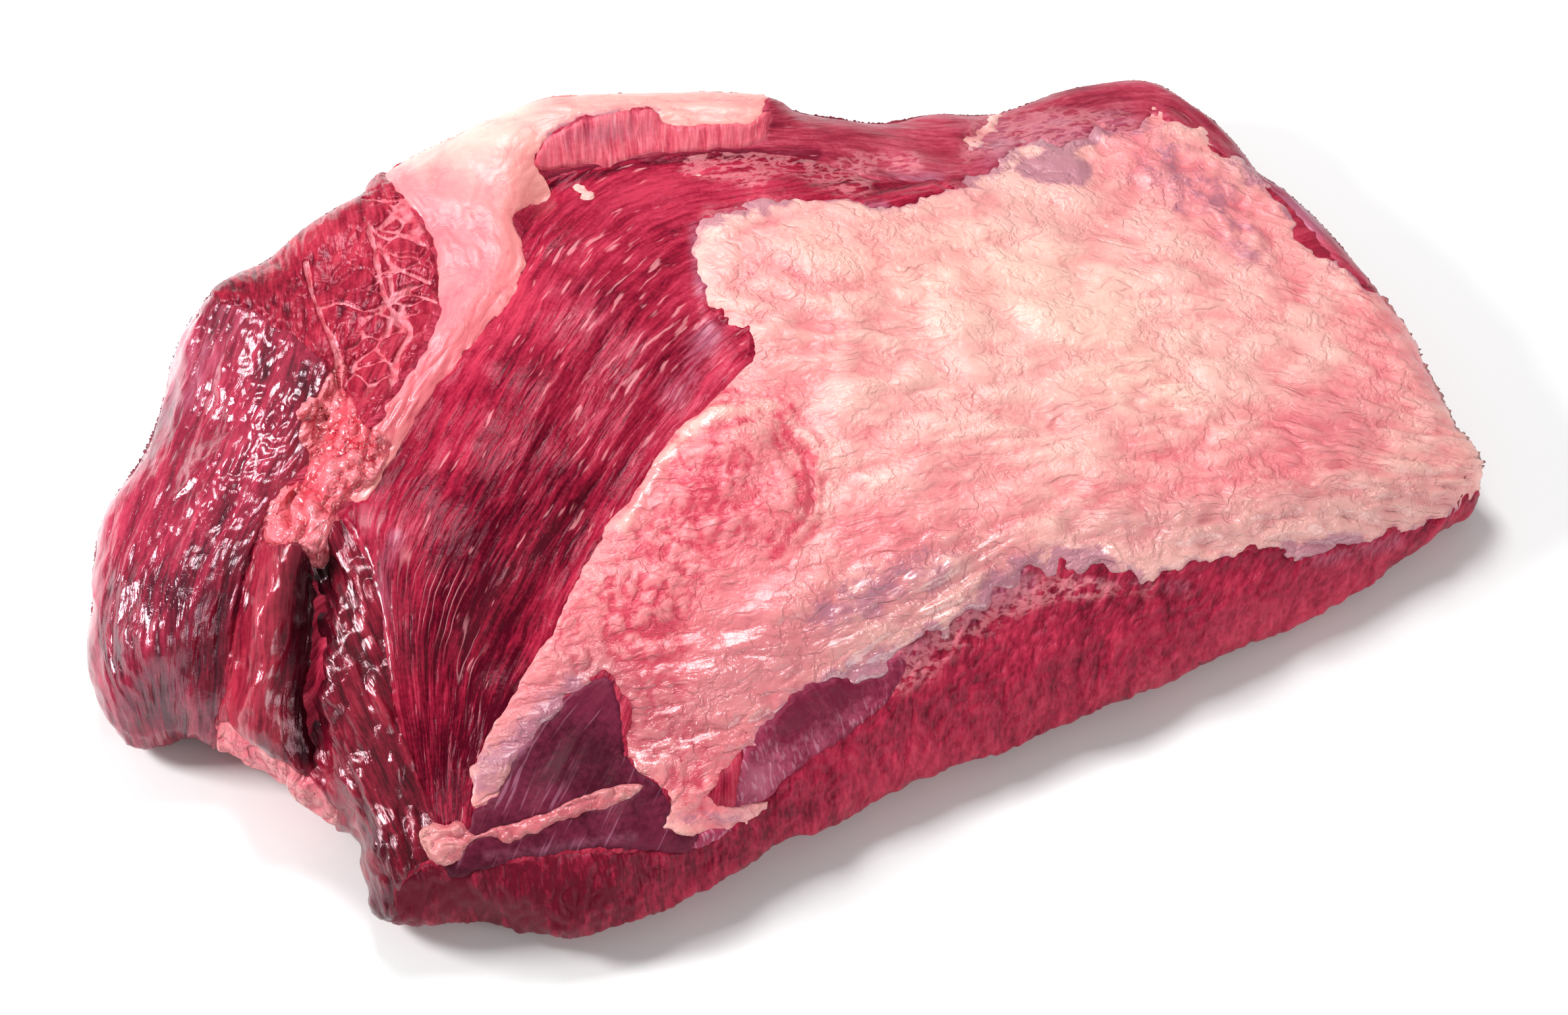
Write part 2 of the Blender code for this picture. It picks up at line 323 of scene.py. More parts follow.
class Outline:
    """A closed outline in the picture."""

    STEPS = 3
    REACH = 45.0

    def __init__(self, *corners: Pixel) -> None:
        """Args:
            corners: Pixels that the outline passes, in order.
        """
        line = rounded(np.array(corners, float), self.STEPS, closed=True)
        self.ring = np.vstack([line, line[:1]])

    def depth(self, pixels: Array) -> Array:
        """Distance to the outline in metres, above 0 inside it.

        Args:
            pixels: The pixels asked about, one row each.

        Returns:
            One distance for each pixel. Far outside, it is only the reach.
        """
        low = self.ring.min(axis=0) - self.REACH
        high = self.ring.max(axis=0) + self.REACH
        near = np.all((pixels > low) & (pixels < high), axis=1)
        asked = pixels[near]
        inside = np.zeros(len(asked), bool)
        across, down = asked.T
        for (ax, ay), (bx, by) in zip(self.ring, self.ring[1:]):
            if ay == by:
                continue
            crosses = (ay > down) != (by > down)
            inside ^= crosses & (across < ax + (bx - ax) * (down - ay) / (by - ay))
        gap, _, _ = nearest_on(self.ring, asked)
        depth = np.full(len(pixels), -self.REACH)
        depth[near] = np.where(inside, gap, -gap)
        return depth / VIEW.pixels_per_metre


class Path:
    """An open line in the picture."""

    STEPS = 5

    def __init__(self, *places: Pixel) -> None:
        """Args:
            places: Pixels that the line passes, in order.
        """
        self.line = rounded(np.array(places, float), self.STEPS, closed=False)

    def gap(self, pixels: Array) -> Array:
        """Distance of each pixel to the line, in pixels."""
        return nearest_on(self.line, pixels)[0]


@dataclass(frozen=True)
class Lanes:
    """Grain that runs between two lines, from their first stations to their last.

    Station by station, the two lines are joined square to the grain.
    """

    first: tuple[Pixel, ...]
    second: tuple[Pixel, ...]

    STEPS = 4
    RUN_ON = 500.0

    def _line(self, places: tuple[Pixel, ...]) -> Array:
        """Smooth line through the stations, with a straight run-on at both ends."""
        line = rounded(np.array(places, float), self.STEPS, closed=False)
        start = line[0] - line[1]
        end = line[-1] - line[-2]
        before = line[0] + start / np.linalg.norm(start) * self.RUN_ON
        after = line[-1] + end / np.linalg.norm(end) * self.RUN_ON
        return np.vstack([before, line, after])

    def coordinates(self, pixels: Array) -> tuple[Array, Array]:
        """Metres along the grain and across it.

        Args:
            pixels: The pixels asked about, one row each.

        Returns:
            Metres along and metres across, one of each for a pixel.
        """
        first, second = self._line(self.first), self._line(self.second)
        width = np.linalg.norm(second - first, axis=1)[1:-1].mean()
        middle = (first + second) / 2
        steps = np.linalg.norm(np.diff(middle, axis=0), axis=1)
        passed = np.concatenate([[0.0], np.cumsum(steps)])
        ahead = (second - first)[:, ::-1] * (1, -1)
        ahead *= np.sign(np.sum(ahead * np.gradient(middle, axis=0), axis=1))[:, None]
        ahead /= np.linalg.norm(ahead, axis=1, keepdims=True)
        beyond = [(pixels - place) @ run for place, run in zip(first, ahead)]
        along = np.zeros(len(pixels))
        across = np.full(len(pixels), 0.5)
        best = np.full(len(pixels), np.inf)
        for index, step in enumerate(steps):
            here, there = beyond[index], beyond[index + 1]
            within = (here >= 0) & (there < 0)
            part = np.where(within, here / np.where(within, here - there, 1), 0)[:, None]
            start = first[index] + part * (first[index + 1] - first[index])
            span = second[index] + part * (second[index + 1] - second[index]) - start
            share = np.sum((pixels - start) * span, axis=1) / np.sum(span * span, axis=1)
            taken = within & (np.abs(share - 0.5) < best)
            best = np.where(taken, np.abs(share - 0.5), best)
            along = np.where(taken, passed[index] + part[:, 0] * step, along)
            across = np.where(taken, share, across)
        return along / VIEW.pixels_per_metre, across * width / VIEW.pixels_per_metre


@dataclass(frozen=True)
class Blotch:
    """A soft patch along a line in the picture, with a half width in pixels."""

    places: tuple[Pixel, ...]
    radius: float
    strength: float = 1.0

    def weight(self, pixels: Array) -> Array:
        """Strength of the patch at each pixel."""
        if len(self.places) == 1:
            gap = np.hypot(*(pixels - np.array(self.places[0], float)).T)
        else:
            gap = Path(*self.places).gap(pixels)
        return self.strength * np.exp(-((gap / self.radius) ** 2))


# Mesh work


def use_only(piece: bpy.types.Object) -> None:
    """Makes this piece the only selected one and the active one."""
    bpy.ops.object.select_all(action="DESELECT")
    piece.select_set(True)
    bpy.context.view_layer.objects.active = piece


def apply_modifier(piece: bpy.types.Object, kind: str, **settings: object) -> None:
    """Adds a modifier with these settings and applies it.

    Args:
        piece: The object to change.
        kind: Type of the modifier.
        settings: Its settings by name.
    """
    modifier = piece.modifiers.new(kind.title(), kind)
    for key, value in settings.items():
        setattr(modifier, key, value)
    use_only(piece)
    bpy.ops.object.modifier_apply(modifier=modifier.name)


def edit_chosen(piece: bpy.types.Object, kind: str, chosen: Array) -> None:
    """Opens a piece for editing with only some vertices or faces selected.

    Args:
        piece: The object to edit. It is left in edit mode.
        kind: "VERT" or "FACE".
        chosen: Whether each vertex or face is selected.
    """
    use_only(piece)
    bpy.ops.object.mode_set(mode="EDIT")
    bpy.ops.mesh.select_mode(type=kind)
    bpy.ops.mesh.select_all(action="DESELECT")
    bpy.ops.object.mode_set(mode="OBJECT")
    elements = piece.data.vertices if kind == "VERT" else piece.data.polygons
    elements.foreach_set("select", chosen)
    bpy.ops.object.mode_set(mode="EDIT")


def corner_vertices(mesh: bpy.types.Mesh) -> Array:
    """The vertex at each corner of a mesh's faces."""
    corners = np.empty(len(mesh.loops), np.int32)
    mesh.loops.foreach_get("vertex_index", corners)
    return corners


def selected_vertices(mesh: bpy.types.Mesh) -> Array:
    """1 for each vertex of a selected face and 0 for each other one."""
    kept = np.empty(len(mesh.polygons), bool)
    mesh.polygons.foreach_get("select", kept)
    corners_each = np.empty(len(mesh.polygons), np.int32)
    mesh.polygons.foreach_get("loop_total", corners_each)
    selected = np.zeros(len(mesh.vertices))
    selected[corner_vertices(mesh)[np.repeat(kept, corners_each)]] = 1.0
    return selected


def read_vectors(mesh: bpy.types.Mesh, key: str) -> Array:
    """Places ("co") or normals ("normal") of a mesh's vertices, one row each."""
    values = np.empty(len(mesh.vertices) * 3, np.float32)
    mesh.vertices.foreach_get(key, values)
    return values.reshape(-1, 3).astype(float)


def write_places(mesh: bpy.types.Mesh, points: Array) -> None:
    """Moves a mesh's vertices to these places."""
    mesh.vertices.foreach_set("co", points.astype(np.float32).ravel())
    mesh.update()


def paint(mesh: bpy.types.Mesh, name: str, values: Array) -> None:
    """Keeps one number for each vertex, which the finish reads by its name."""
    layer = mesh.attributes.new(name, "FLOAT", "POINT")
    layer.data.foreach_set("value", values.astype(np.float32))


def lay_grain(mesh: bpy.types.Mesh, along: Array, across: Array) -> None:
    """Keeps the places along and across the grain as the mesh's UV map."""
    corners = corner_vertices(mesh)
    both = np.stack([along[corners], across[corners]], axis=1)
    layer = mesh.uv_layers.new(name="grain")
    layer.data.foreach_set("uv", both.astype(np.float32).ravel())


@dataclass
class Places:
    """What is known of a set of places on the skin.

    Attributes:
        points: Where they are.
        normals: Which way the skin faces there.
        pixels: Where they show in the picture.
        hidden: How far each is hidden behind the meat, from 0 to 1.
        top: Height of the meat over each.
        girth: How far round the plan outline each lies.
    """

    points: Array
    normals: Array
    pixels: Array
    hidden: Array
    top: Array
    girth: Array


class Skin:
    """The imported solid's smooth outer surface, copied in even quads of any size."""

    CELL = 0.0024
    SMOOTHING = 10
    COLUMN = 0.006
    SPREAD = 2
    DIRECTIONS = 180
    AWAY_TO = 0.35
    HIDDEN_RANGE = (-0.10, 0.20)

    def __init__(self, node: bpy.types.Object) -> None:
        """Args:
            node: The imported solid.
        """
        self.node = node
        whole = self.copy("skin", self.CELL)
        self.points = read_vectors(whole.data, "co")
        self.tops, self.corner = self._column_tops()
        self.angles, self.lengths = self._girth()
        mesh = whole.data
        bpy.data.objects.remove(whole)
        bpy.data.meshes.remove(mesh)

    def copy(self, name: str, cell: float) -> bpy.types.Object:
        """Even, smooth copy of the solid.

        Args:
            name: The copy's name.
            cell: Side of its quads.

        Returns:
            The copy, with no material.
        """
        copy = bpy.data.objects.new(name, self.node.data.copy())
        copy.data.materials.clear()
        bpy.context.scene.collection.objects.link(copy)
        use_only(copy)
        bpy.ops.object.mode_set(mode="EDIT")
        bpy.ops.mesh.select_all(action="SELECT")
        bpy.ops.mesh.remove_doubles(threshold=1e-6)
        bpy.ops.object.mode_set(mode="OBJECT")
        apply_modifier(copy, "REMESH", mode="VOXEL", voxel_size=cell)
        rounds = round(self.SMOOTHING * (self.CELL / cell) ** 2)
        apply_modifier(copy, "SMOOTH", factor=0.5, iterations=rounds)
        return copy

    def _column_tops(self) -> tuple[Array, Array]:
        """Highest point over each square of the plan, spread to the squares around."""
        corner = self.points[:, :2].min(axis=0) - self.COLUMN * (self.SPREAD + 1)
        index = ((self.points[:, :2] - corner) / self.COLUMN).astype(int)
        tops = np.zeros(index.max(axis=0) + self.SPREAD + 3)
        np.maximum.at(tops, (index[:, 0], index[:, 1]), self.points[:, 2])
        spread = tops.copy()
        for step in itertools.product(range(-self.SPREAD, self.SPREAD + 1), repeat=2):
            spread = np.maximum(spread, np.roll(tops, step, axis=(0, 1)))
        return spread, corner

    def _top_over(self, points: Array) -> Array:
        """Height of the meat over each place, blended between the squares of the plan."""
        squares = (points[:, :2] - self.corner) / self.COLUMN - 0.5
        low = np.clip(np.floor(squares).astype(int), 0, np.array(self.tops.shape) - 2)
        share = np.clip(squares - low, 0, 1)
        top = np.zeros(len(points))
        for step in itertools.product((0, 1), repeat=2):
            weight = np.prod(np.where(step, share, 1 - share), axis=1)
            top += weight * self.tops[low[:, 0] + step[0], low[:, 1] + step[1]]
        return top

    def _girth(self) -> tuple[Array, Array]:
        """Length round the plan outline as far as each direction from the middle."""
        angle = np.arctan2(self.points[:, 1], self.points[:, 0])
        reach = np.hypot(self.points[:, 0], self.points[:, 1])
        sector = ((angle + math.pi) / math.tau * self.DIRECTIONS).astype(int) % self.DIRECTIONS
        widest = np.zeros(self.DIRECTIONS)
        np.maximum.at(widest, sector, reach)
        middles = (np.arange(self.DIRECTIONS) + 0.5) / self.DIRECTIONS * math.tau - math.pi
        rim = widest[:, None] * np.stack([np.cos(middles), np.sin(middles)], axis=1)
        steps = np.linalg.norm(np.diff(rim, axis=0, append=rim[:1]), axis=1)
        return middles, np.cumsum(steps) - steps

    def places(self, mesh: bpy.types.Mesh) -> Places:
        """What is known of a mesh's vertices.

        Args:
            mesh: A mesh cut from the skin.

        Returns:
            What is known of them. A hidden one counts as showing where the rim above it does.
        """
        points = read_vectors(mesh, "co")
        normals = read_vectors(mesh, "normal")
        back, _, _ = VIEW.axes()
        level = back[:2] / np.linalg.norm(back[:2])
        away = smooth_step(-(normals[:, :2] @ level), 0.0, self.AWAY_TO)
        hidden = away * smooth_step(-(normals @ back), *self.HIDDEN_RANGE)
        top = self._top_over(points)
        lifted = points.copy()
        lifted[:, 2] += np.maximum(top - points[:, 2], 0) * hidden
        angle = np.arctan2(points[:, 1], points[:, 0])
        girth = np.interp(angle, self.angles, self.lengths)
        return Places(points, normals, VIEW.project(lifted), hidden, top, girth)


# Shader graphs


class Wire:
    """One output of a shader node, on which Python's sums add Math nodes."""

    def __init__(self, graph: "Graph", socket: bpy.types.NodeSocket) -> None:
        """Args:
            graph: The material that the node is in.
            socket: The node's output.
        """
        self.graph = graph
        self.socket = socket

    def _math(self, operation: str, *values: object) -> "Wire":
        """Adds a Math node on these values."""
        node = self.graph.node("ShaderNodeMath", {"operation": operation}, dict(enumerate(values)))
        return Wire(self.graph, node.outputs[0])

    def __add__(self, other: object) -> "Wire":
        """Sum."""
        return self._math("ADD", self, other)

    def __radd__(self, other: object) -> "Wire":
        """Sum, with the number first."""
        return self._math("ADD", other, self)

    def __sub__(self, other: object) -> "Wire":
        """Difference."""
        return self._math("SUBTRACT", self, other)

    def __mul__(self, other: object) -> "Wire":
        """Product."""
        return self._math("MULTIPLY", self, other)

    def __abs__(self) -> "Wire":
        """Size without its sign."""
        return self._math("ABSOLUTE", self)

    def step(self, low: float, high: float) -> "Wire":
        """Smooth rise from 0 at low to 1 at high."""
        node = self.graph.node(
            "ShaderNodeMapRange", {"interpolation_type": "SMOOTHSTEP"},
            {"Value": self, "From Min": low, "From Max": high},
        )
        return Wire(self.graph, node.outputs[0])

    def held(self) -> "Wire":
        """The value kept between 0 and 1."""
        node = self.graph.node("ShaderNodeClamp", {}, {0: self})
        return Wire(self.graph, node.outputs[0])


class Graph:
    """A material under construction."""

    def __init__(self, name: str, begun: bpy.types.Material | None = None) -> None:
        """Args:
            name: The material's name.
            begun: A material to work on further.
        """
        self.material = begun or bpy.data.materials.new(name)
        self.material.use_nodes = True
        self.tree = self.material.node_tree
        self.shader = self.tree.nodes["Principled BSDF"]

    def node(self, kind: str, settings: dict, inputs: dict) -> bpy.types.Node:
        """Adds a node.

        Args:
            kind: The node's type.
            settings: Its settings by name, and a ramp's stops under "stops".
            inputs: Values or wires by the name or number of the input.

        Returns:
            The new node.
        """
        node = self.tree.nodes.new(kind)
        for key, value in settings.items():
            if key == "stops":
                self._set_stops(node.color_ramp, value)
            else:
                setattr(node, key, value)
        for key, value in inputs.items():
            self.feed(node.inputs[key], value)
        return node

    def _set_stops(self, ramp: bpy.types.ColorRamp, stops: list[tuple[float, Colour]]) -> None:
        """Gives a colour ramp its stops."""
        while len(ramp.elements) < len(stops):
            ramp.elements.new(0.5)
        for element, (position, colour) in zip(ramp.elements, stops):
            element.position = position
            element.color = (*colour, 1.0)

    def feed(self, socket: bpy.types.NodeSocket, value: object) -> None:
        """Links a wire to an input, or sets its value."""
        if isinstance(value, Wire):
            self.tree.links.new(value.socket, socket)
        elif isinstance(value, tuple) and len(value) == 3 and len(socket.default_value) == 4:
            socket.default_value = (*value, 1.0)
        else:
            socket.default_value = value

    def output(self, node: bpy.types.Node, key: int | str = 0) -> Wire:
        """One output of a node as a wire."""
        return Wire(self, node.outputs[key])

    def place(self) -> Wire:
        """Object coordinates."""
        return self.output(self.node("ShaderNodeTexCoord", {}, {}), "Object")

    def grain(self) -> Wire:
        """The grain's UV map: metres along and across."""
        return self.output(self.node("ShaderNodeUVMap", {"uv_map": "grain"}, {}), "UV")

    def painted(self, name: str) -> Wire:
        """A number kept on the mesh."""
        return self.output(self.node("ShaderNodeAttribute", {"attribute_name": name}, {}), "Fac")

    def stretched(self, vector: Wire, sizes: tuple[float, float, float], shift: float = 0.0) -> Wire:
        """A vector in units of these sizes, moved by a shift."""
        scale = tuple(1 / size for size in sizes)
        node = self.node("ShaderNodeVectorMath", {"operation": "MULTIPLY_ADD"},
                         {0: vector, 1: scale, 2: (shift, shift, shift)})
        return self.output(node)

    def pushed(self, vector: Wire, size: float, reach: float) -> Wire:
        """A vector in metres, moved about by noise of this size and reach."""
        noise = self.node("ShaderNodeTexNoise", {}, {"Vector": self.place(), "Scale": 1 / size,
                                                     "Detail": 2.0})
        centred = self.node("ShaderNodeVectorMath", {"operation": "SUBTRACT"},
                            {0: self.output(noise, 1), 1: (0.5, 0.5, 0.5)})
        node = self.node("ShaderNodeVectorMath", {"operation": "MULTIPLY_ADD"},
                         {0: self.output(centred), 1: (reach, reach, reach), 2: vector})
        return self.output(node)

    def noise(self, vector: Wire, size: float = 1.0, detail: float = 2.0, rough: float = 0.5) -> Wire:
        """Noise from 0 to 1.

        Args:
            vector: Where the noise is read.
            size: Size of its swells, in the vector's unit.
            detail: How many finer layers it has.
            rough: Strength of each finer layer against the one before.

        Returns:
            The noise.
        """
        node = self.node("ShaderNodeTexNoise", {}, {"Vector": vector, "Scale": 1 / size,
                                                    "Detail": detail, "Roughness": rough})
        return self.output(node, 0)

    def cell_edges(self, vector: Wire, size: float) -> Wire:
        """Distance to the walls between scattered cells of this size."""
        node = self.node("ShaderNodeTexVoronoi", {"feature": "DISTANCE_TO_EDGE"},
                         {"Vector": vector, "Scale": 1 / size})
        return self.output(node, 0)

    def blend(self, share: Wire | float, first: Wire | Colour, second: Wire | Colour) -> Wire:
        """First colour at share 0, second at share 1."""
        node = self.node("ShaderNodeMix", {"data_type": "RGBA"}, {0: share, 6: first, 7: second})
        return self.output(node, 2)

    def ramp(self, value: Wire, *stops: tuple[float, Colour]) -> Wire:
        """Colour of a value between stops."""
        return self.output(self.node("ShaderNodeValToRGB", {"stops": list(stops)}, {0: value}))

    def bump(self, height: Wire, depth: float) -> Wire:
        """Normal of a bump of this depth in metres."""
        return self.output(self.node("ShaderNodeBump", {}, {"Height": height, "Distance": depth}))

    def finish(self, **inputs: object) -> bpy.types.Material:
        """Feeds the shader by the names of its inputs, with _ for a space, and hands it over."""
        for key, value in inputs.items():
            self.feed(self.shader.inputs[key.replace("_", " ")], value)
        return self.material


# Finishes


@dataclass(frozen=True)
class LeanNoise:
    """What a lean finish is mixed from.

    Attributes:
        place: Object coordinates.
        grain: The grain's coordinates, a little unsteady.
        fibre: Single fibres.
        bundle: Bundles of fibres.
        cloud: Broad unevenness.
        speck: The finest specks.
        cluster: Where dashes, sinew lines and nets gather.
    """

    place: Wire
    grain: Wire
    fibre: Wire
    bundle: Wire
    cloud: Wire
    speck: Wire
    cluster: Wire


@dataclass(frozen=True)
class LeanFinish:
    """Damp bare muscle with its fibres, pale dashes of fat, white sinew lines that are partly painted
    glints, and thin membranes.

    Attributes:
        name: The material's name.
        dark: Colour at the low end of the muscle's tone: its deeper tone, and painted shade in its
            hollows and in the painted shade patches.
        middle: Its usual colour.
        light: Its colour at the high end of the tone: on raised fibres, where it is painted light on
            the relief, and in the painted light patches.
        pale: Colour of dashes, sinew lines and nets of fat, and of the thin painted glints along the
            sinew lines.
        lilac: Colour of a membrane, and of the painted lilac sheen on the wet lobe and band.
        void: Near-black colour of the painted shadow deep in the cleft.
        fibre: Length and width of a fibre.
        bundle: Length and width of a bundle of fibres.
        dash: Length and width of a dash of fat.
        dash_from: Level of noise at which a dash starts. A higher one makes fewer dashes.
        contrast: Strength of the unevenness of colour.
        facet: Size of the wet facets.
        roughness: Usual roughness.
        specular: Strength of the shine.
        sheen_tint: Colour of the shine.
        coat: Strength of the coat in wet patches.
        bump: Depth of the bump, in metres.
    """

    name: str
    dark: Colour = (0.070, 0.001, 0.008)
    middle: Colour = (0.27, 0.008, 0.030)
    light: Colour = (0.47, 0.032, 0.070)
    pale: Colour = (0.72, 0.27, 0.30)
    lilac: Colour = (0.38, 0.15, 0.23)
    void: Colour = (0.012, 0.001, 0.003)
    fibre: tuple[float, float] = (0.0080, 0.0009)
    bundle: tuple[float, float] = (0.026, 0.0026)
    dash: tuple[float, float] = (0.0120, 0.0018)
    dash_from: float = 0.67
    contrast: float = 1.10
    facet: float = 0.0040
    roughness: float = 0.27
    specular: float = 0.14
    sheen_tint: Colour = (1.0, 0.50, 0.62)
    coat: float = 0.0
    bump: float = 0.0009

    FACET_SHAPE = (2.6, 0.62)
    SINEW_AND_GLINT = (0.065, 0.0042)
    NET = (0.0090, 0.0045, 0.006)

    def _noises(self, graph: Graph) -> LeanNoise:
        """Adds the noises to the material."""
        place = graph.place()
        grain = graph.pushed(graph.grain(), 0.022, 0.0035)
        return LeanNoise(
            place=place,
            grain=grain,
            fibre=graph.noise(graph.stretched(grain, (*self.fibre, 1.0)), detail=3.0, rough=0.6),
            bundle=graph.noise(graph.stretched(grain, (*self.bundle, 1.0), 7.0), detail=2.5),
            cloud=graph.noise(place, 0.030, 3.0),
            speck=graph.noise(place, 0.0015, 3.0, 0.6),
            cluster=graph.noise(place, 0.016, 1.0),
        )

    def _muscle(self, graph: Graph, made: LeanNoise) -> Wire:
        """Colour of the bare muscle, with painted shade in its hollows and painted light on its raised
        relief.
        """
        tone = (made.fibre - 0.5) * 1.1 + (made.bundle - 0.5) * 1.2
        tone = tone + (made.cloud - 0.5) * 0.8 + (made.speck - 0.5) * 0.5
        # Painted shade and light: the relief's height darkens the hollows and lightens the raised
        # fibres.
        tone = tone * self.contrast + 0.5 + graph.painted("lift") * 0.20
        # Painted light and painted shade patches lighten and darken the muscle. In the band they also
        # carry its paler and deeper tone.
        tone = tone + graph.painted("bright") * 0.35 - graph.painted("dark") * 0.45
        return graph.ramp(tone.held(), (0.08, self.dark), (0.5, self.middle), (0.95, self.light))

    def _dashes(self, graph: Graph, made: LeanNoise) -> Wire:
        """1 on the dashes of fat."""
        dash = graph.noise(graph.stretched(made.grain, (*self.dash, 1.0), 3.0), detail=2.0)
        dash = dash + (made.cluster - 0.5) * 0.25 + graph.painted("strands") * 0.10
        return dash.step(self.dash_from, self.dash_from + 0.10)

    def _film_and_sheen(self, graph: Graph, made: LeanNoise) -> Wire:
        """1 under the membranes, and on the painted lilac sheen."""
        film = graph.painted("film") * (0.6 + (made.fibre - 0.5) * 1.4 + (made.cloud - 0.5) * 1.4)
        return film.step(0.15, 0.75)

    def _sinews_and_glints(self, graph: Graph, made: LeanNoise) -> Wire:
        """1 on the long white sinew lines, which partly stand for thin painted glints along the grain.
        """
        thread = graph.noise(graph.stretched(made.grain, (*self.SINEW_AND_GLINT, 1.0), 11.0), detail=0.0)
        where = (graph.painted("sinews") * made.cluster).step(0.2, 0.5)
        return abs(thread - 0.5).step(0.030, 0.005) * where

    def _net(self, graph: Graph, made: LeanNoise) -> Wire:
        """1 on the net of pale threads near the fat."""
        unsteady = graph.pushed(made.place, 0.005, 0.004)
        net = graph.noise(graph.stretched(unsteady, self.NET), detail=3.0, rough=0.6)
        where = (graph.painted("net") + made.cluster - 0.5).step(0.3, 0.7)
        return abs(net - 0.5).step(0.110, 0.010) * where

    def material(self) -> bpy.types.Material:
        """Builds the material."""
        graph = Graph(self.name)
        made = self._noises(graph)
        film, sinews, net = self._film_and_sheen(graph, made), self._sinews_and_glints(graph, made), self._net(graph, made)
        colour = self._muscle(graph, made)
        colour = graph.blend(self._dashes(graph, made) * 0.62, colour, self.pale)
        # Membrane colour. On the lobe and in places on the band it is a painted lilac sheen.
        colour = graph.blend(film * 0.65, colour, self.lilac)
        # Pale sinew lines, partly painted glints along the grain.
        colour = graph.blend(sinews * 0.75, colour, self.pale)
        colour = graph.blend(net * 0.45, colour, self.pale)
        # Painted shadow: near-black deep in the cleft.
        colour = graph.blend(graph.painted("void").held() * 0.9, colour, self.void)
        along, across = (self.facet * share for share in self.FACET_SHAPE)
        facets = graph.noise(graph.stretched(made.grain, (along, across, 1.0), 17.0), detail=1.5)
        wet = (graph.noise(made.place, 0.012, 2.0) + graph.painted("wet") * 0.4).step(0.4, 0.7)
        height = facets * 0.6 + made.fibre * 0.25 + made.bundle * 0.60 + made.speck * 0.12
        height = height + (net + sinews) * 0.12
        return graph.finish(
            Base_Color=colour,
            Roughness=self.roughness + (made.speck - 0.5) * 0.25 - film * 0.05 - wet * 0.08,
            Coat_Weight=(wet * self.coat + film * 0.10 + graph.painted("wet") * 0.8).held(),
            Normal=graph.bump(height, self.bump),
            Specular_IOR_Level=self.specular,
            Specular_Tint=self.sheen_tint,
            Coat_Roughness=0.16,
            Subsurface_Weight=0.08,
            Subsurface_Radius=(1.0, 0.20, 0.16),
            Subsurface_Scale=0.0015,
        )


@dataclass(frozen=True)
class FatNoise:
    """What a fat finish is mixed from.

    Attributes:
        place: Object coordinates.
        cloud: Broad unevenness.
        patch: Patches of a few millimetres.
        speck: The finest specks.
        broad: Long wrinkles along the grain.
        fine: Short wrinkles along the grain.
    """

    place: Wire
    cloud: Wire
    patch: Wire
    speck: Wire
    broad: Wire
    fine: Wire


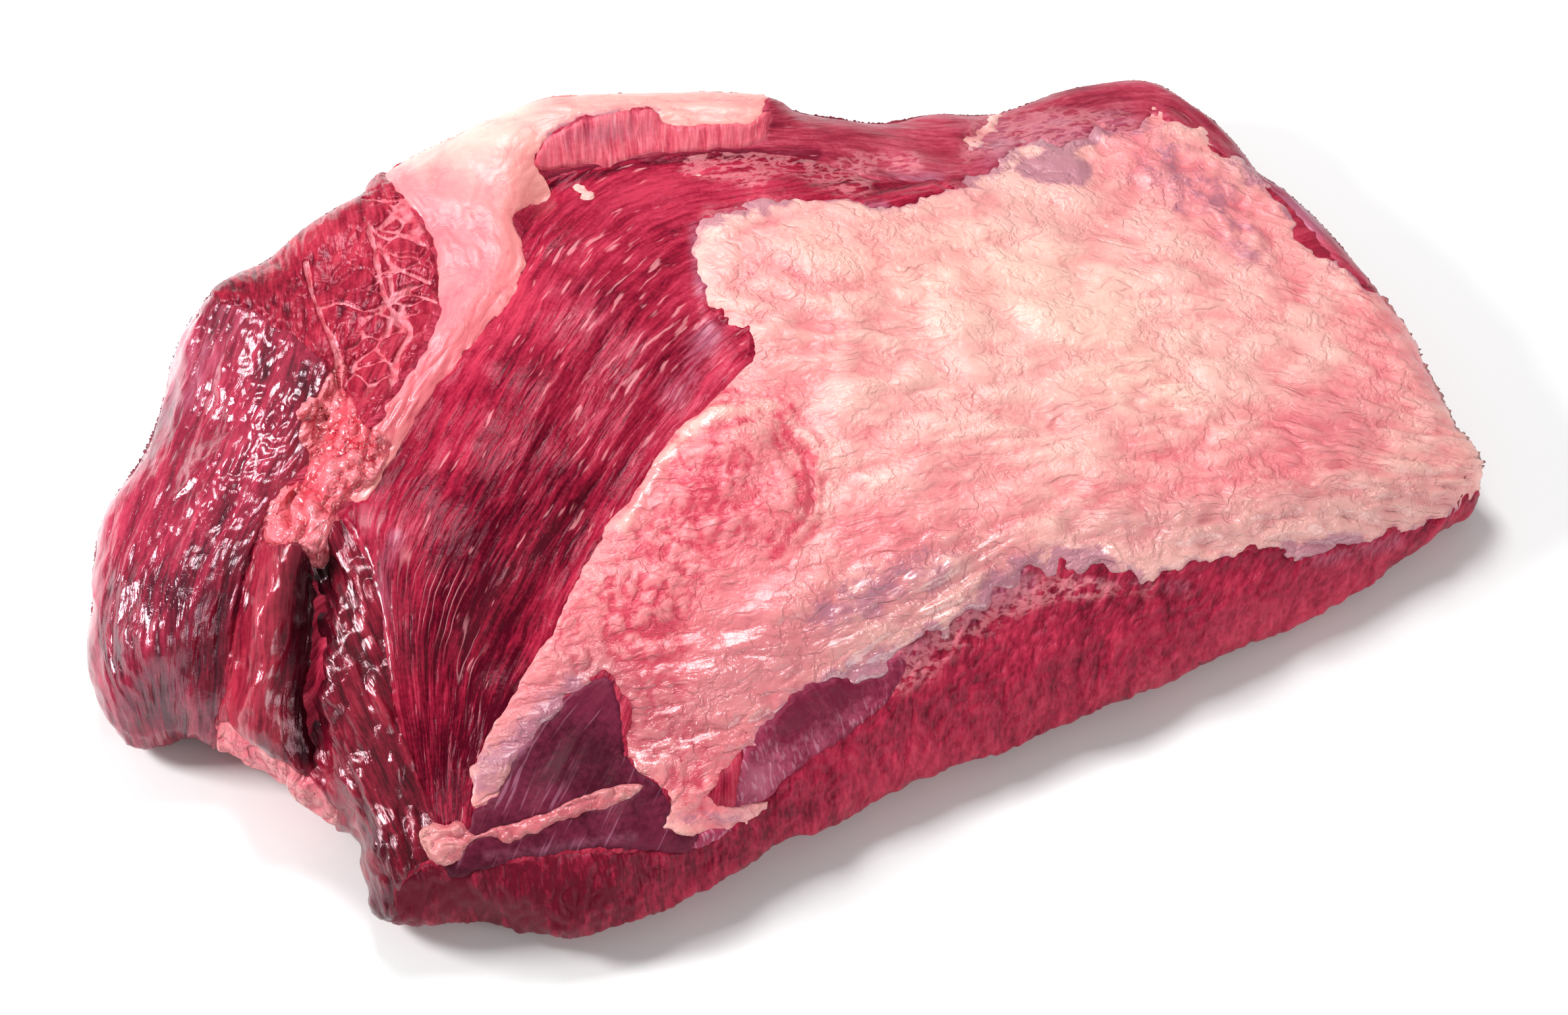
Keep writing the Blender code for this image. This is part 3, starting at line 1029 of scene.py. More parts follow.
@dataclass(frozen=True)
class FatFinish:
    """Soft raw fat, from cream to pink, with red flushed patches and darker red painted shade in its
    hollows and wrinkles.

    Attributes:
        name: The material's name.
        cream: Colour of plain fat.
        butter: Colour of its yellower patches, which also paints light on fat that faces the lights and
            on raised relief.
        pink: Colour of its pinker patches.
        flush: Colour of blood in cracks and flushed patches, and of the painted shade in hollows and
            wrinkles.
        lilac: Colour of muscle that shows through thin fat.
        dull_tone_and_shade: Brownish colour of the painted shade on its lower slopes, partly its own
            duller tone.
        wrinkles: Length and width of the long wrinkles.
        mottle: Strength of the unevenness and the wrinkles.
        hollow_shade: How strongly the hollows are painted darker red as shade.
        roughness: Usual roughness.
        specular: Strength of the shine.
        coat: Strength of the coat in wet patches.
        bump: Depth of the bump, in metres.
    """

    name: str
    cream: Colour = (0.83, 0.445, 0.395)
    butter: Colour = (0.86, 0.53, 0.43)
    pink: Colour = (0.76, 0.22, 0.24)
    flush: Colour = (0.56, 0.045, 0.085)
    lilac: Colour = (0.37, 0.14, 0.20)
    dull_tone_and_shade: Colour = (0.34, 0.13, 0.14)
    wrinkles: tuple[float, float] = (0.024, 0.0056)
    mottle: float = 1.0
    hollow_shade: float = 0.20
    roughness: float = 0.38
    specular: float = 0.38
    coat: float = 0.45
    bump: float = 0.0009

    FINE = (0.0080, 0.0026)

    def _noises(self, graph: Graph) -> FatNoise:
        """Adds the noises to the material."""
        place = graph.place()
        grain = graph.pushed(graph.pushed(graph.grain(), 0.024, 0.012), 0.008, 0.005)
        return FatNoise(
            place=place,
            cloud=graph.noise(place, 0.030, 4.0, 0.6),
            patch=graph.noise(graph.pushed(place, 0.010, 0.006), 0.0065, 4.0, 0.65),
            speck=graph.noise(place, 0.0017, 3.0, 0.6),
            broad=graph.noise(graph.stretched(grain, (*self.wrinkles, 1.0), 5.0), detail=2.5),
            fine=graph.noise(graph.stretched(grain, (*self.FINE, 1.0), 9.0), detail=2.0),
        )

    def _lines(self, graph: Graph, made: FatNoise) -> tuple[Wire, Wire, Wire]:
        """1 in the long wrinkles, in the short ones and in the creases across them."""
        broad = abs(made.broad - 0.5).step(0.110, 0.0) * made.cloud.step(0.40, 0.60)
        fine = abs(made.fine - 0.5).step(0.090, 0.0) * (made.patch + 0.1).step(0.45, 0.65)
        crease = graph.noise(graph.pushed(made.place, 0.014, 0.010), 0.0105, 4.0, 0.55)
        crease = abs(crease - 0.5).step(0.090, 0.0) * (made.cloud * -1.0).step(-0.58, -0.44)
        return broad, fine, crease

    def _pinkness(self, graph: Graph, made: FatNoise) -> Wire:
        """How pink the fat is, with its lower relief painted pinker as shade."""
        uneven = ((made.cloud - 0.5) * 1.2 + (made.patch - 0.5) * 0.7) * self.mottle
        # Painted shade: lower relief turns pinker, raised relief creamier.
        return graph.painted("pink") + uneven - graph.painted("lift") * 0.16

    def _blush(self, graph: Graph, made: FatNoise, pink: Wire, broad: Wire, crease: Wire) -> Wire:
        """How red the fat is, in flushed patches and veins, and as painted shade in wrinkles and
        hollows.
        """
        veins = graph.cell_edges(graph.pushed(made.place, 0.008, 0.014), 0.016)
        veins = veins.step(0.045, 0.0) * graph.noise(made.place, 0.015).step(0.50, 0.65)
        flush = ((made.patch - 0.5) * 1.4 + (made.speck - 0.5) * 0.8) * self.mottle
        flush = (graph.painted("flush") + flush).step(0.30, 1.35)
        # Painted shade: hollows and wrinkle lines turn darker red.
        hollow_shade = (graph.painted("lift") * -1.0).step(0.2, 1.1)
        lines = broad * pink.held() * 0.20 + crease * (pink + 0.2).held() * 0.16
        return (flush * 0.85 + veins * 0.25 + lines + hollow_shade * self.hollow_shade).held()

    def _film_and_sheen(self, graph: Graph, made: FatNoise) -> Wire:
        """1 where muscle shows through thin fat."""
        film = graph.painted("film") + graph.painted("edge") * graph.painted("thin") * 1.2
        uneven = (made.patch - 0.5) * 1.8 * film.step(0.0, 0.5) + (made.speck - 0.5) * 0.3
        return (film + uneven).step(0.35, 0.95)

    def material(self) -> bpy.types.Material:
        """Builds the material."""
        graph = Graph(self.name)
        made = self._noises(graph)
        broad, fine, crease = self._lines(graph, made)
        pink, film = self._pinkness(graph, made), self._film_and_sheen(graph, made)
        # Yellower fat, partly painted light: it grows on raised relief.
        butter = graph.painted("butter") + (made.cloud - 0.5) - 0.20 + graph.painted("lift") * 0.15
        # Painted shade on the lower slopes, brownish, partly duller tone.
        dull_tone_and_shade = (graph.painted("dark") * (0.6 + made.cloud * 0.8)).held()
        wet = (graph.painted("wet") + (graph.noise(made.place, 0.009) - 0.5) * 0.9).step(0.1, 0.9)
        colour = graph.blend((pink + (made.speck - 0.5) * 0.3).step(-0.15, 1.0), self.cream, self.pink)
        colour = graph.blend(butter.step(0.0, 0.8) * 0.6, colour, self.butter)
        colour = graph.blend(self._blush(graph, made, pink, broad, crease), colour, self.flush)
        colour = graph.blend(dull_tone_and_shade, colour, self.dull_tone_and_shade)
        colour = graph.blend(film * 0.8, colour, self.lilac)
        height = made.broad * 0.7 + made.fine * 0.28 + made.patch * 0.7 + made.speck * 0.14
        height = height - (broad * 0.55 + crease * 0.50 + fine * 0.05) * self.mottle
        return graph.finish(
            Base_Color=colour,
            Roughness=self.roughness + (made.speck - 0.5) * 0.25 - wet * 0.20,
            Coat_Weight=(0.03 + wet * self.coat + film * 0.15).held(),
            Normal=graph.bump(height, self.bump),
            Specular_IOR_Level=self.specular,
            Coat_Roughness=0.15,
            Subsurface_Weight=0.16,
            Subsurface_Radius=(1.0, 0.40, 0.32),
            Subsurface_Scale=0.0016,
        )


@dataclass(frozen=True)
class MembraneFinish:
    """Silverskin: deep purple muscle under a thin membrane with pale stripes across it."""

    name: str
    deep: Colour = (0.055, 0.003, 0.013)
    violet: Colour = (0.15, 0.014, 0.040)
    stripe: Colour = (0.42, 0.17, 0.26)
    stripe_size: tuple[float, float] = (0.030, 0.0022)
    stripe_from: float = 0.60
    roughness: float = 0.48
    specular: float = 0.10
    bump: float = 0.0006

    def material(self) -> bpy.types.Material:
        """Builds the material."""
        graph = Graph(self.name)
        place = graph.place()
        grain = graph.pushed(graph.grain(), 0.020, 0.0030)
        cloud = graph.noise(place, 0.022, 3.0)
        lines = graph.noise(graph.stretched(grain, (*self.stripe_size, 1.0)), detail=1.0)
        speck = graph.noise(place, 0.0022, 3.0, 0.6)
        shade = cloud + (speck - 0.5) * 0.6
        # Painted light and painted shade patches, where a sheet has them, lighten and darken the
        # membrane.
        shade = shade + graph.painted("bright") * 0.3 - graph.painted("dark") * 0.3
        colour = graph.blend(shade.step(0.25, 0.75), self.deep, self.violet)
        stripes = lines.step(self.stripe_from, self.stripe_from + 0.08) * (cloud + 0.1).step(0.4, 0.75)
        colour = graph.blend(stripes * 0.45, colour, self.stripe)
        film = graph.painted("film") * (0.6 + (cloud - 0.5) * 2.0 + (speck - 0.5) * 0.6)
        colour = graph.blend(film.step(0.1, 0.8) * 0.7, colour, self.stripe)
        return graph.finish(
            Base_Color=colour,
            Roughness=self.roughness + (speck - 0.5) * 0.3,
            Normal=graph.bump(lines * 0.3 + speck * 0.3 + cloud * 0.4, self.bump),
            Specular_IOR_Level=self.specular,
            Subsurface_Weight=0.08,
            Subsurface_Radius=(1.0, 0.25, 0.30),
            Subsurface_Scale=0.0018,
        )


@dataclass(frozen=True)
class MarbledFinish(LeanFinish):
    """Short muscle cells with pale pink fat in the lines between them."""

    fat: Colour = (0.72, 0.22, 0.26)
    fat_deep: Colour = (0.54, 0.080, 0.11)

    def material(self) -> bpy.types.Material:
        """Builds the material of the cells and lays the lines of fat over it."""
        graph = Graph(self.name, super().material())
        place = graph.place()
        speck = graph.noise(place, 0.003, 3.0)
        walls = (graph.painted("walls") + (speck - 0.5) * 0.5).step(0.40, 0.75)
        fat = graph.blend(graph.noise(place, 0.006, 2.0).step(0.35, 0.6), self.fat_deep, self.fat)
        under = Wire(graph, graph.shader.inputs["Base Color"].links[0].from_socket)
        return graph.finish(Base_Color=graph.blend(walls * 0.9, under, fat))


Finish = LeanFinish | FatFinish | MembraneFinish


# Sheets


class Slot(Enum):
    """The record's materials."""

    BEEF = "raw_beef"
    FAT = "beef_fat"


@dataclass
class Sheet:
    """A muscle, sheet of fat or membrane, as a closed sheet whose edge dips under its neighbours.

    Attributes:
        name: Name of the piece. Its length picks the pattern of the ragged edge.
        outlines: Where the sheet lies in the picture.
        finish: What it looks like.
        slot: Slot of its material in the record. Not used.
        lanes: Where its grain runs, or None where the sheet knows that itself.
        layers: Its relief.
        detail: Side of its quads.
        rise: How far it stands off the skin.
        edge: Half the width in which its edge falls.
        wall: How far it reaches down a wall that the picture doesn't show.
        ragged: How far its edge strays from the outline.
        tints: Patches of colour, wetness and relief by name, some of them painted light, shade, shadow,
            sheen and glints. An edge in a "crisp" one doesn't stray.
    """

    name: str
    outlines: tuple[Outline, ...]
    finish: Finish
    slot: Slot
    lanes: Lanes | None
    layers: tuple[Layer, ...]
    detail: float = 0.0008
    rise: float = 0.0
    edge: float = 0.0025
    wall: float = 0.5
    ragged: float = 0.0012
    tints: dict[str, tuple[Blotch, ...]] = field(default_factory=dict)

    CUTS = 2
    SINK = 0.0022
    TUCK = 0.0018
    LOWEST = -0.0012
    MARGIN = 0.0050
    THICKNESS = 0.0050
    SMOOTHING = 12
    UNDERSIDE = -0.85
    UNDERSIDE_REACH = 0.03
    HIDDEN_FROM = 0.3
    RAGGED_SIZES = (0.0090, 0.0030)
    RAGGED_FINE = 0.45
    RAGGED_REACH = 0.008
    EDGE_REACH = 0.007
    COVER_REACH = 0.004
    FLOOR_BAND = 0.006
    THROUGH = 0.35
    LIFT_GAIN = 1.5
    # Some of these paint light. The darker and lighter patches are painted shade and light, partly the
    # muscle's own tone. The cleft's near-black is a painted shadow. The membrane, sinew and
    # yellower-fat tints are partly painted sheen, glints and light.
    TINTS = ("dark", "bright", "strands", "film", "sinews", "void", "pink", "butter", "flush",
             "thin", "wet", "walls", "net")

    def depth(self, places: Places) -> Array:
        """How far inside the sheet's outline each place lies, in metres.

        Args:
            places: Places on the skin.

        Returns:
            Distances, below 0 outside.
        """
        depth = np.max([outline.depth(places.pixels) for outline in self.outlines], axis=0)
        on_wall = places.points[:, 2] - (places.top - self.wall)
        depth = np.where(places.hidden > self.HIDDEN_FROM, np.minimum(depth, on_wall), depth)
        under = (places.normals[:, 2] - self.UNDERSIDE) * self.UNDERSIDE_REACH
        depth = np.minimum(depth, under)
        near = np.abs(depth) < self.RAGGED_REACH
        noise = Noise(len(self.name))
        coarse, fine = (noise.swell(places.points[near] / size) for size in self.RAGGED_SIZES)
        rag = self.ragged * (coarse + self.RAGGED_FINE * fine)
        if "crisp" in self.tints:
            rag *= 1 - self._weight("crisp", places.pixels[near])
        depth[near] += rag
        return depth

    def _weight(self, name: str, pixels: Array) -> Array:
        """Strength of one tint at each pixel."""
        weight = sum(blotch.weight(pixels) for blotch in self.tints[name])
        return np.clip(weight, -1.0, 1.5)

    def grain(self, places: Places, lanes: Lanes | None = None) -> Array:
        """Places along the grain, across it and through the meat, in metres.

        Args:
            places: Places on the skin.
            lanes: Other lanes than the sheet's own.

        Returns:
            One row for each place.
        """
        along, across = (lanes or self.lanes).coordinates(places.pixels)
        down = places.top - places.points[:, 2]
        along = along + (down - along) * places.hidden
        across = across + (places.girth - across) * places.hidden
        return np.stack([along, across, self.THROUGH * places.points[:, 2]], axis=1)

    def extra(self, places: Places, grain: Array) -> Array:
        """Relief that only this sheet has, in metres."""
        return np.zeros(len(places.points))

    def masks(self, places: Places, grain: Array) -> dict[str, Array]:
        """The tints and other patches by name."""
        return {name: self._weight(name, places.pixels) for name in self.tints}

    def build(self, skin: Skin, above: list["Sheet"]) -> bpy.types.Object:
        """Cuts the sheet from the skin, divides it and gives it relief and finish.

        Args:
            skin: The surface that the sheet lies on.
            above: The sheets that may cover it.

        Returns:
            The finished piece.
        """
        piece = self._cut(skin)
        outer = self._divide(piece)
        places = skin.places(piece.data)
        depth = self.depth(places)
        grain = self.grain(places)
        masks = self.masks(places, grain)
        detail = self._relief(places, grain, masks)
        lift = detail / max(sum(layer.height for layer in self.layers if not layer.where), 1e-4)
        detail = detail + self.extra(places, grain)
        detail = np.maximum(detail, self.LOWEST - self.rise)
        inside = smooth_step(depth, -self.edge, self.edge)
        offset = -self.SINK + (self.SINK + self.rise + detail) * inside
        covered = self._covered(places, above)
        offset = offset * (1 - covered) - self.TUCK * covered
        offset = np.where(places.points[:, 2] < self.FLOOR_BAND, np.minimum(offset, 0.0), offset)
        write_places(piece.data, places.points + places.normals * (offset * outer)[:, None])
        masks["edge"] = 1 - np.clip(depth / self.EDGE_REACH, 0, 1)
        return self._hand_over(piece, grain, self.LIFT_GAIN * lift, masks)

    def _relief(self, places: Places, grain: Array, masks: dict[str, Array]) -> Array:
        """Height of all layers together, in metres."""
        total = np.zeros(len(places.points))
        for layer in self.layers:
            own = self.grain(places, layer.lanes) if layer.lanes else grain
            total += layer.rise(own) * (masks[layer.where] if layer.where else 1.0)
        return total

    def _covered(self, places: Places, above: list["Sheet"]) -> Array:
        """1 where a sheet above covers a place, and 0 where it is bare."""
        covered = np.zeros(len(places.points))
        for sheet in above:
            covered = np.maximum(covered, smooth_step(sheet.depth(places), 0.0, self.COVER_REACH))
        return covered

    def _cut(self, skin: Skin) -> bpy.types.Object:
        """Copy of the skin with only the faces well inside the outline and its margin."""
        piece = skin.copy(self.name, self.detail * (self.CUTS + 1))
        outside = self.depth(skin.places(piece.data)) < -self.MARGIN
        edit_chosen(piece, "VERT", outside)
        bpy.ops.mesh.delete(type="VERT")
        bpy.ops.object.mode_set(mode="OBJECT")
        return piece

    def _divide(self, piece: bpy.types.Object) -> Array:
        """Gives the sheet its thickness and divides its outer faces.

        Args:
            piece: The open sheet.

        Returns:
            1 for each outer vertex and 0 for each other one.
        """
        mesh = piece.data
        outer_faces = len(mesh.polygons)
        apply_modifier(piece, "SOLIDIFY", thickness=self.THICKNESS, offset=-1.0)
        edit_chosen(piece, "FACE", np.arange(len(mesh.polygons)) < outer_faces)
        bpy.ops.mesh.subdivide(number_cuts=self.CUTS)
        bpy.ops.object.mode_set(mode="OBJECT")
        outer = selected_vertices(mesh)
        group = piece.vertex_groups.new(name="outer")
        group.add(np.flatnonzero(outer).tolist(), 1.0, "REPLACE")
        apply_modifier(piece, "SMOOTH", factor=0.5, iterations=self.SMOOTHING, vertex_group="outer")
        piece.vertex_groups.clear()
        return outer

    def _hand_over(self, piece: bpy.types.Object, grain: Array, lift: Array,
                   masks: dict[str, Array]) -> bpy.types.Object:
        """Keeps the numbers that the finish reads, dresses the piece and ties it to the frame.

        Args:
            piece: The piece in its final shape.
            grain: Its places along and across the grain.
            lift: How high each place stands, from about -1 to 1.
            masks: Tints and other patches by name.

        Returns:
            The finished piece.
        """
        mesh = piece.data
        lay_grain(mesh, grain[:, 0], grain[:, 1])
        paint(mesh, "lift", np.clip(lift, -1, 1))
        for name in (*self.TINTS, "edge"):
            if name in masks:
                paint(mesh, name, masks[name])
        mesh.materials.append(self.finish.material())
        mesh.shade_smooth()
        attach(piece, BODY)
        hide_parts(NODE)
        LOG.info("%s: %d triangles", self.name, len(mesh.loops) - 2 * len(mesh.polygons))
        return piece


@dataclass
class FatCap(Sheet):
    """The thick cap of fat, with its puckered ring near the point end."""

    RING_MIDDLE = (1112.0, 735.0)
    RING_RADIUS = 122.0
    RING_WIDTH = 9.5
    RING_GROOVE = -0.0015
    RING_GAP = math.radians(135)
    RING_LINES = ((0, 1.0), (24, 0.7), (-22, 0.6), (46, 0.35))
    RING_SWAYS = ((31, 0.017, 16.0), (33, 0.006, 5.0))
    RIM = Path((948, 800), (985, 730), (1035, 665), (1100, 622), (1170, 616))
    RIM_HALF = 11.0
    RIM_HEIGHT = 0.0012
    LUMPS = 0.0013
    LUMP_LEVEL = 0.55
    LUMP_SWAY = 0.35
    LUMP_SWAY_SIZE = 0.005
    LUMP_SWAY_SEED = 34
    LUMP_KINDS = ((32, 0.0085, 2.2, 0.6), (33, 0.0060, 1.8, 0.4))

    def _ring(self, places: Places) -> Array:
        """1 in the grooves of the puckered ring, which is open towards the lower left."""
        offset = places.pixels - np.array(self.RING_MIDDLE)
        turn = np.arctan2(offset[:, 1], offset[:, 0])
        open_side = smooth_step(np.cos(turn - self.RING_GAP), 0.60, 0.10)
        reach = np.hypot(*offset.T)
        for seed, size, sway in self.RING_SWAYS:
            reach += sway * Noise(seed).swell(places.points / size)
        groove = sum(
            share * np.exp(-(((reach - self.RING_RADIUS - out) / self.RING_WIDTH) ** 2))
            for out, share in self.RING_LINES
        )
        return groove * open_side

    def _rim(self, places: Places) -> Array:
        """1 on the ridge at the ring's upper left, which is painted paler as a highlight."""
        return np.exp(-((self.RIM.gap(places.pixels) / self.RIM_HALF) ** 2))

    def _lumps(self, places: Places) -> Array:
        """0 in the cracks of the grainy fat and 1 on its lumps."""
        sway = Noise(self.LUMP_SWAY_SEED).swell(places.points / self.LUMP_SWAY_SIZE)
        sway = self.LUMP_SWAY * sway[:, None]
        height = np.zeros(len(places.points))
        for seed, size, gain, share in self.LUMP_KINDS:
            nearest, second = Noise(seed).cells(places.points / size + sway)
            height += share * np.clip(gain * (second - nearest), 0, 1)
        return height

    def extra(self, places: Places, grain: Array) -> Array:
        """The ring's grooves and rim, and small lumps where the fat is grainy."""
        grainy = self._weight("grainy", places.pixels)
        lumps = (self._lumps(places) - self.LUMP_LEVEL) * grainy
        ring = self.RING_GROOVE * self._ring(places) + self.RIM_HEIGHT * self._rim(places)
        return ring + self.LUMPS * lumps

    def masks(self, places: Places, grain: Array) -> dict[str, Array]:
        """The tints, with redder grooves and cracks, and a wet rim painted paler as a highlight."""
        masks = super().masks(places, grain)
        cracks = smooth_step(self._lumps(places), self.LUMP_LEVEL, 0.15)
        cracks = cracks * np.clip(masks["grainy"], 0, 1)
        rim = self._rim(places)
        # Painted highlight: the rim is made less red and less pink.
        masks["flush"] = masks["flush"] + 1.05 * self._ring(places) + 0.90 * cracks - 0.6 * rim
        masks["pink"] = masks["pink"] - 0.7 * rim
        masks["wet"] = masks["wet"] + rim
        return masks


@dataclass
class MarbledFace(Sheet):
    """Cut face of short muscle cells with lines of fat between them.

    Attributes:
        trunks: The thick lines of fat, each with its half width in pixels.
    """

    trunks: tuple[tuple[Path, float], ...] = ()

    CELL_SIZES = (0.0056, 0.0105, 0.010)
    CELL_HEIGHT = 0.0010
    CELL_SEED = 43
    FAINT = 0.72
    SWAY = 0.0010
    SWAY_SIZE = 0.006
    SWAY_SEEDS = (44, 45, 46)

    def _walls(self, places: Places, grain: Array) -> Array:
        """0 in the cells and 1 on the lines of fat, thin ones between cells and thick trunks."""
        sway = np.stack([Noise(seed).swell(grain / self.SWAY_SIZE) for seed in self.SWAY_SEEDS], axis=1)
        points = (grain + self.SWAY * sway) / np.array(self.CELL_SIZES)
        nearest, second = Noise(self.CELL_SEED).cells(points)
        walls = self.FAINT * smooth_step(second - nearest, 0.18, 0.05)
        walls *= self._weight("fatty", places.pixels)
        for path, radius in self.trunks:
            wide = radius * (0.9 + 0.75 * sway[:, 0])
            walls = np.maximum(walls, smooth_step(path.gap(places.pixels) / wide, 1.0, 0.5))
        return np.clip(walls, 0, 1)

    def extra(self, places: Places, grain: Array) -> Array:
        """Cells that stand up between the lines of fat."""
        return self.CELL_HEIGHT * (0.5 - 1.5 * self._walls(places, grain))

    def masks(self, places: Places, grain: Array) -> dict[str, Array]:
        """The lines of fat, besides the tints."""
        return super().masks(places, grain) | {"walls": self._walls(places, grain)}


@dataclass
class LeanBody(Sheet):
    """The whole body of lean meat, which shows on the walls and the underside."""

    PLAN_FROM = -0.60
    PLAN_TO = -0.85
    GUARD = (0.0005, 0.008)

    def grain(self, places: Places, lanes: Lanes | None = None) -> Array:
        """Down the walls, and along the length on the underside."""
        under = smooth_step(places.normals[:, 2], self.PLAN_FROM, self.PLAN_TO)
        along = places.points[:, 2] + (places.points[:, 0] - places.points[:, 2]) * under
        across = places.girth + (places.points[:, 1] - places.girth) * under
        return np.stack([along, across, self.THROUGH * places.points[:, 2]], axis=1)

    def build(self, skin: Skin, above: list[Sheet]) -> bpy.types.Object:
        """Copies the whole skin, gives it relief and lowers it under the sheets."""
        piece = skin.copy(self.name, self.detail)
        places = skin.places(piece.data)
        grain = self.grain(places)
        masks = self.masks(places, grain)
        detail = self._relief(places, grain, masks)
        lift = detail / sum(layer.height for layer in self.layers)
        covered = self._covered(places, above)
        guard = smooth_step(places.points[:, 2], *self.GUARD)
        offset = detail * guard * (1 - covered) - self.TUCK * covered * guard
        write_places(piece.data, places.points + places.normals * offset[:, None])
        return self._hand_over(piece, grain, self.LIFT_GAIN * lift, masks)


# Outlines and grain of the pieces


FAT_CAP_OUTLINE = Outline(
    (1048, 348), (1060, 415), (1068, 455), (1108, 492), (1140, 514), (1107, 565), (1023, 649),
    (976, 714), (916, 797), (875, 869), (821, 976), (774, 1047), (732, 1119), (706, 1190),
    (712, 1238), (758, 1214), (774, 1172), (857, 1078), (918, 1030), (944, 1075), (942, 1142),
    (988, 1190), (1010, 1228), (1000, 1262), (1060, 1272), (1130, 1252), (1168, 1216),
    (1107, 1212), (1085, 1195), (1142, 1142), (1172, 1107), (1238, 1047), (1333, 1035),
    (1380, 988), (1420, 960), (1440, 966), (1464, 930), (1500, 928), (1518, 900), (1548, 896),
    (1562, 868), (1592, 880), (1612, 856), (1642, 868), (1668, 852), (1690, 876), (1714, 872),
    (1740, 884), (1785, 869), (1856, 851), (1928, 833), (1975, 854), (2023, 839), (2094, 821),
    (2178, 797), (2243, 762), (2285, 720), (2262, 666), (2212, 583), (2160, 484), (2112, 440),
    (2072, 430), (2044, 398), (2006, 384), (1972, 362), (1974, 330), (1944, 298), (1908, 264),
    (1876, 236), (1838, 212), (1804, 186), (1772, 172), (1748, 160), (1732, 172), (1712, 190),
    (1665, 190), (1610, 215), (1560, 205), (1520, 230), (1500, 262), (1440, 270), (1405, 290),
    (1345, 312), (1285, 290), (1190, 300), (1107, 321),
)
FAT_ISLANDS = (
    Outline((1450, 205), (1480, 190), (1510, 168), (1520, 180), (1500, 214), (1470, 226)),
    Outline((1010, 262), (1060, 256), (1080, 268), (1030, 276)),
    Outline((872, 282), (900, 286), (904, 304), (882, 302)),
)
STRAND_OUTLINE = Outline(
    (645, 1282), (640, 1262), (668, 1250), (700, 1246), (722, 1262), (760, 1252), (833, 1226),
    (928, 1194), (980, 1188), (958, 1216), (881, 1240), (821, 1262), (775, 1282), (745, 1272),
    (714, 1288), (700, 1310), (664, 1312),
)
DECKLE_OUTLINE = Outline(
    (571, 178), (583, 280), (619, 312), (649, 357), (658, 416), (662, 458), (649, 512),
    (619, 559), (595, 595), (559, 643), (524, 678), (512, 738), (559, 762), (619, 666),
    (690, 559), (738, 500), (774, 458), (795, 416), (800, 387), (785, 327), (833, 310),
    (838, 278), (821, 250), (839, 208), (875, 184), (910, 176), (985, 170), (1002, 191),
    (1047, 197), (1107, 192), (1148, 186), (1172, 143), (1160, 80), (833, 80), (666, 140),
)
BAND_OUTLINE = Outline(
    (785, 327), (821, 286), (857, 256), (952, 244), (1047, 228), (1142, 226), (1238, 238),
    (1345, 268), (1416, 268), (1476, 286), (1428, 345), (1309, 345), (1190, 357), (1119, 393),
    (1130, 476), (1178, 524), (1130, 595), (1035, 678), (1000, 726), (940, 809), (898, 881),
    (845, 988), (797, 1059), (756, 1130), (726, 1202), (714, 1261), (666, 1309), (631, 1190),
    (595, 1071), (577, 952), (541, 857), (512, 785), (559, 738), (619, 649), (690, 547),
    (750, 476), (791, 405),
)
CORNER_OUTLINE = Outline(
    (470, 821), (512, 774), (559, 833), (589, 952), (607, 1071), (643, 1178), (690, 1285),
    (655, 1318), (608, 1350), (586, 1464), (536, 1464), (500, 1285), (476, 1226), (446, 1172),
    (470, 1095), (482, 1023), (478, 904),
)
LOBE_OUTLINE = Outline(
    (274, 385), (327, 411), (381, 458), (458, 512), (506, 565), (497, 643), (474, 702),
    (419, 762), (395, 821), (375, 881), (357, 964), (350, 1035), (333, 1107), (345, 1200),
    (150, 1230), (20, 1100), (15, 833), (90, 640), (170, 460),
)
MARBLED_OUTLINE = Outline(
    (290, 380), (381, 370), (446, 345), (512, 290), (581, 245), (625, 312), (654, 357),
    (666, 452), (643, 518), (613, 571), (589, 607), (553, 649), (512, 684), (470, 696),
    (494, 643), (500, 571), (458, 524), (381, 476), (315, 452),
)
FOLD_OUTLINE = Outline(
    (381, 833), (419, 779), (466, 821), (478, 892), (474, 988), (462, 1071), (474, 1148),
    (464, 1190), (393, 1172), (321, 1142), (339, 1047), (355, 952),
)
GRISTLE_OUTLINE = Outline(
    (455, 612), (484, 590), (508, 540), (530, 556), (530, 596), (552, 636), (584, 662),
    (600, 676), (586, 706), (552, 742), (526, 766), (500, 812), (484, 860), (462, 838),
    (412, 830), (386, 816), (406, 778), (430, 744), (456, 730), (462, 692), (448, 656),
)
UNDER_FAT_OUTLINE = Outline(
    (322, 1100), (352, 1090), (380, 1118), (430, 1150), (476, 1176), (504, 1214), (520, 1262),
    (512, 1320), (470, 1290), (400, 1230), (330, 1170),
)
SILVER_LEFT_OUTLINE = Outline(
    (922, 1023), (946, 1071), (952, 1142), (1000, 1190), (1035, 1238), (1065, 1267),
    (1035, 1299), (952, 1291), (833, 1297), (738, 1321), (684, 1333), (666, 1285), (702, 1250),
    (738, 1190), (762, 1142), (809, 1083), (857, 1053),
)
SILVER_MIDDLE_OUTLINE = Outline(
    (1047, 1291), (1071, 1250), (1107, 1238), (1125, 1142), (1160, 1089), (1226, 1029),
    (1321, 1000), (1376, 1000), (1370, 1040), (1310, 1100), (1240, 1150), (1180, 1200),
    (1120, 1258),
)
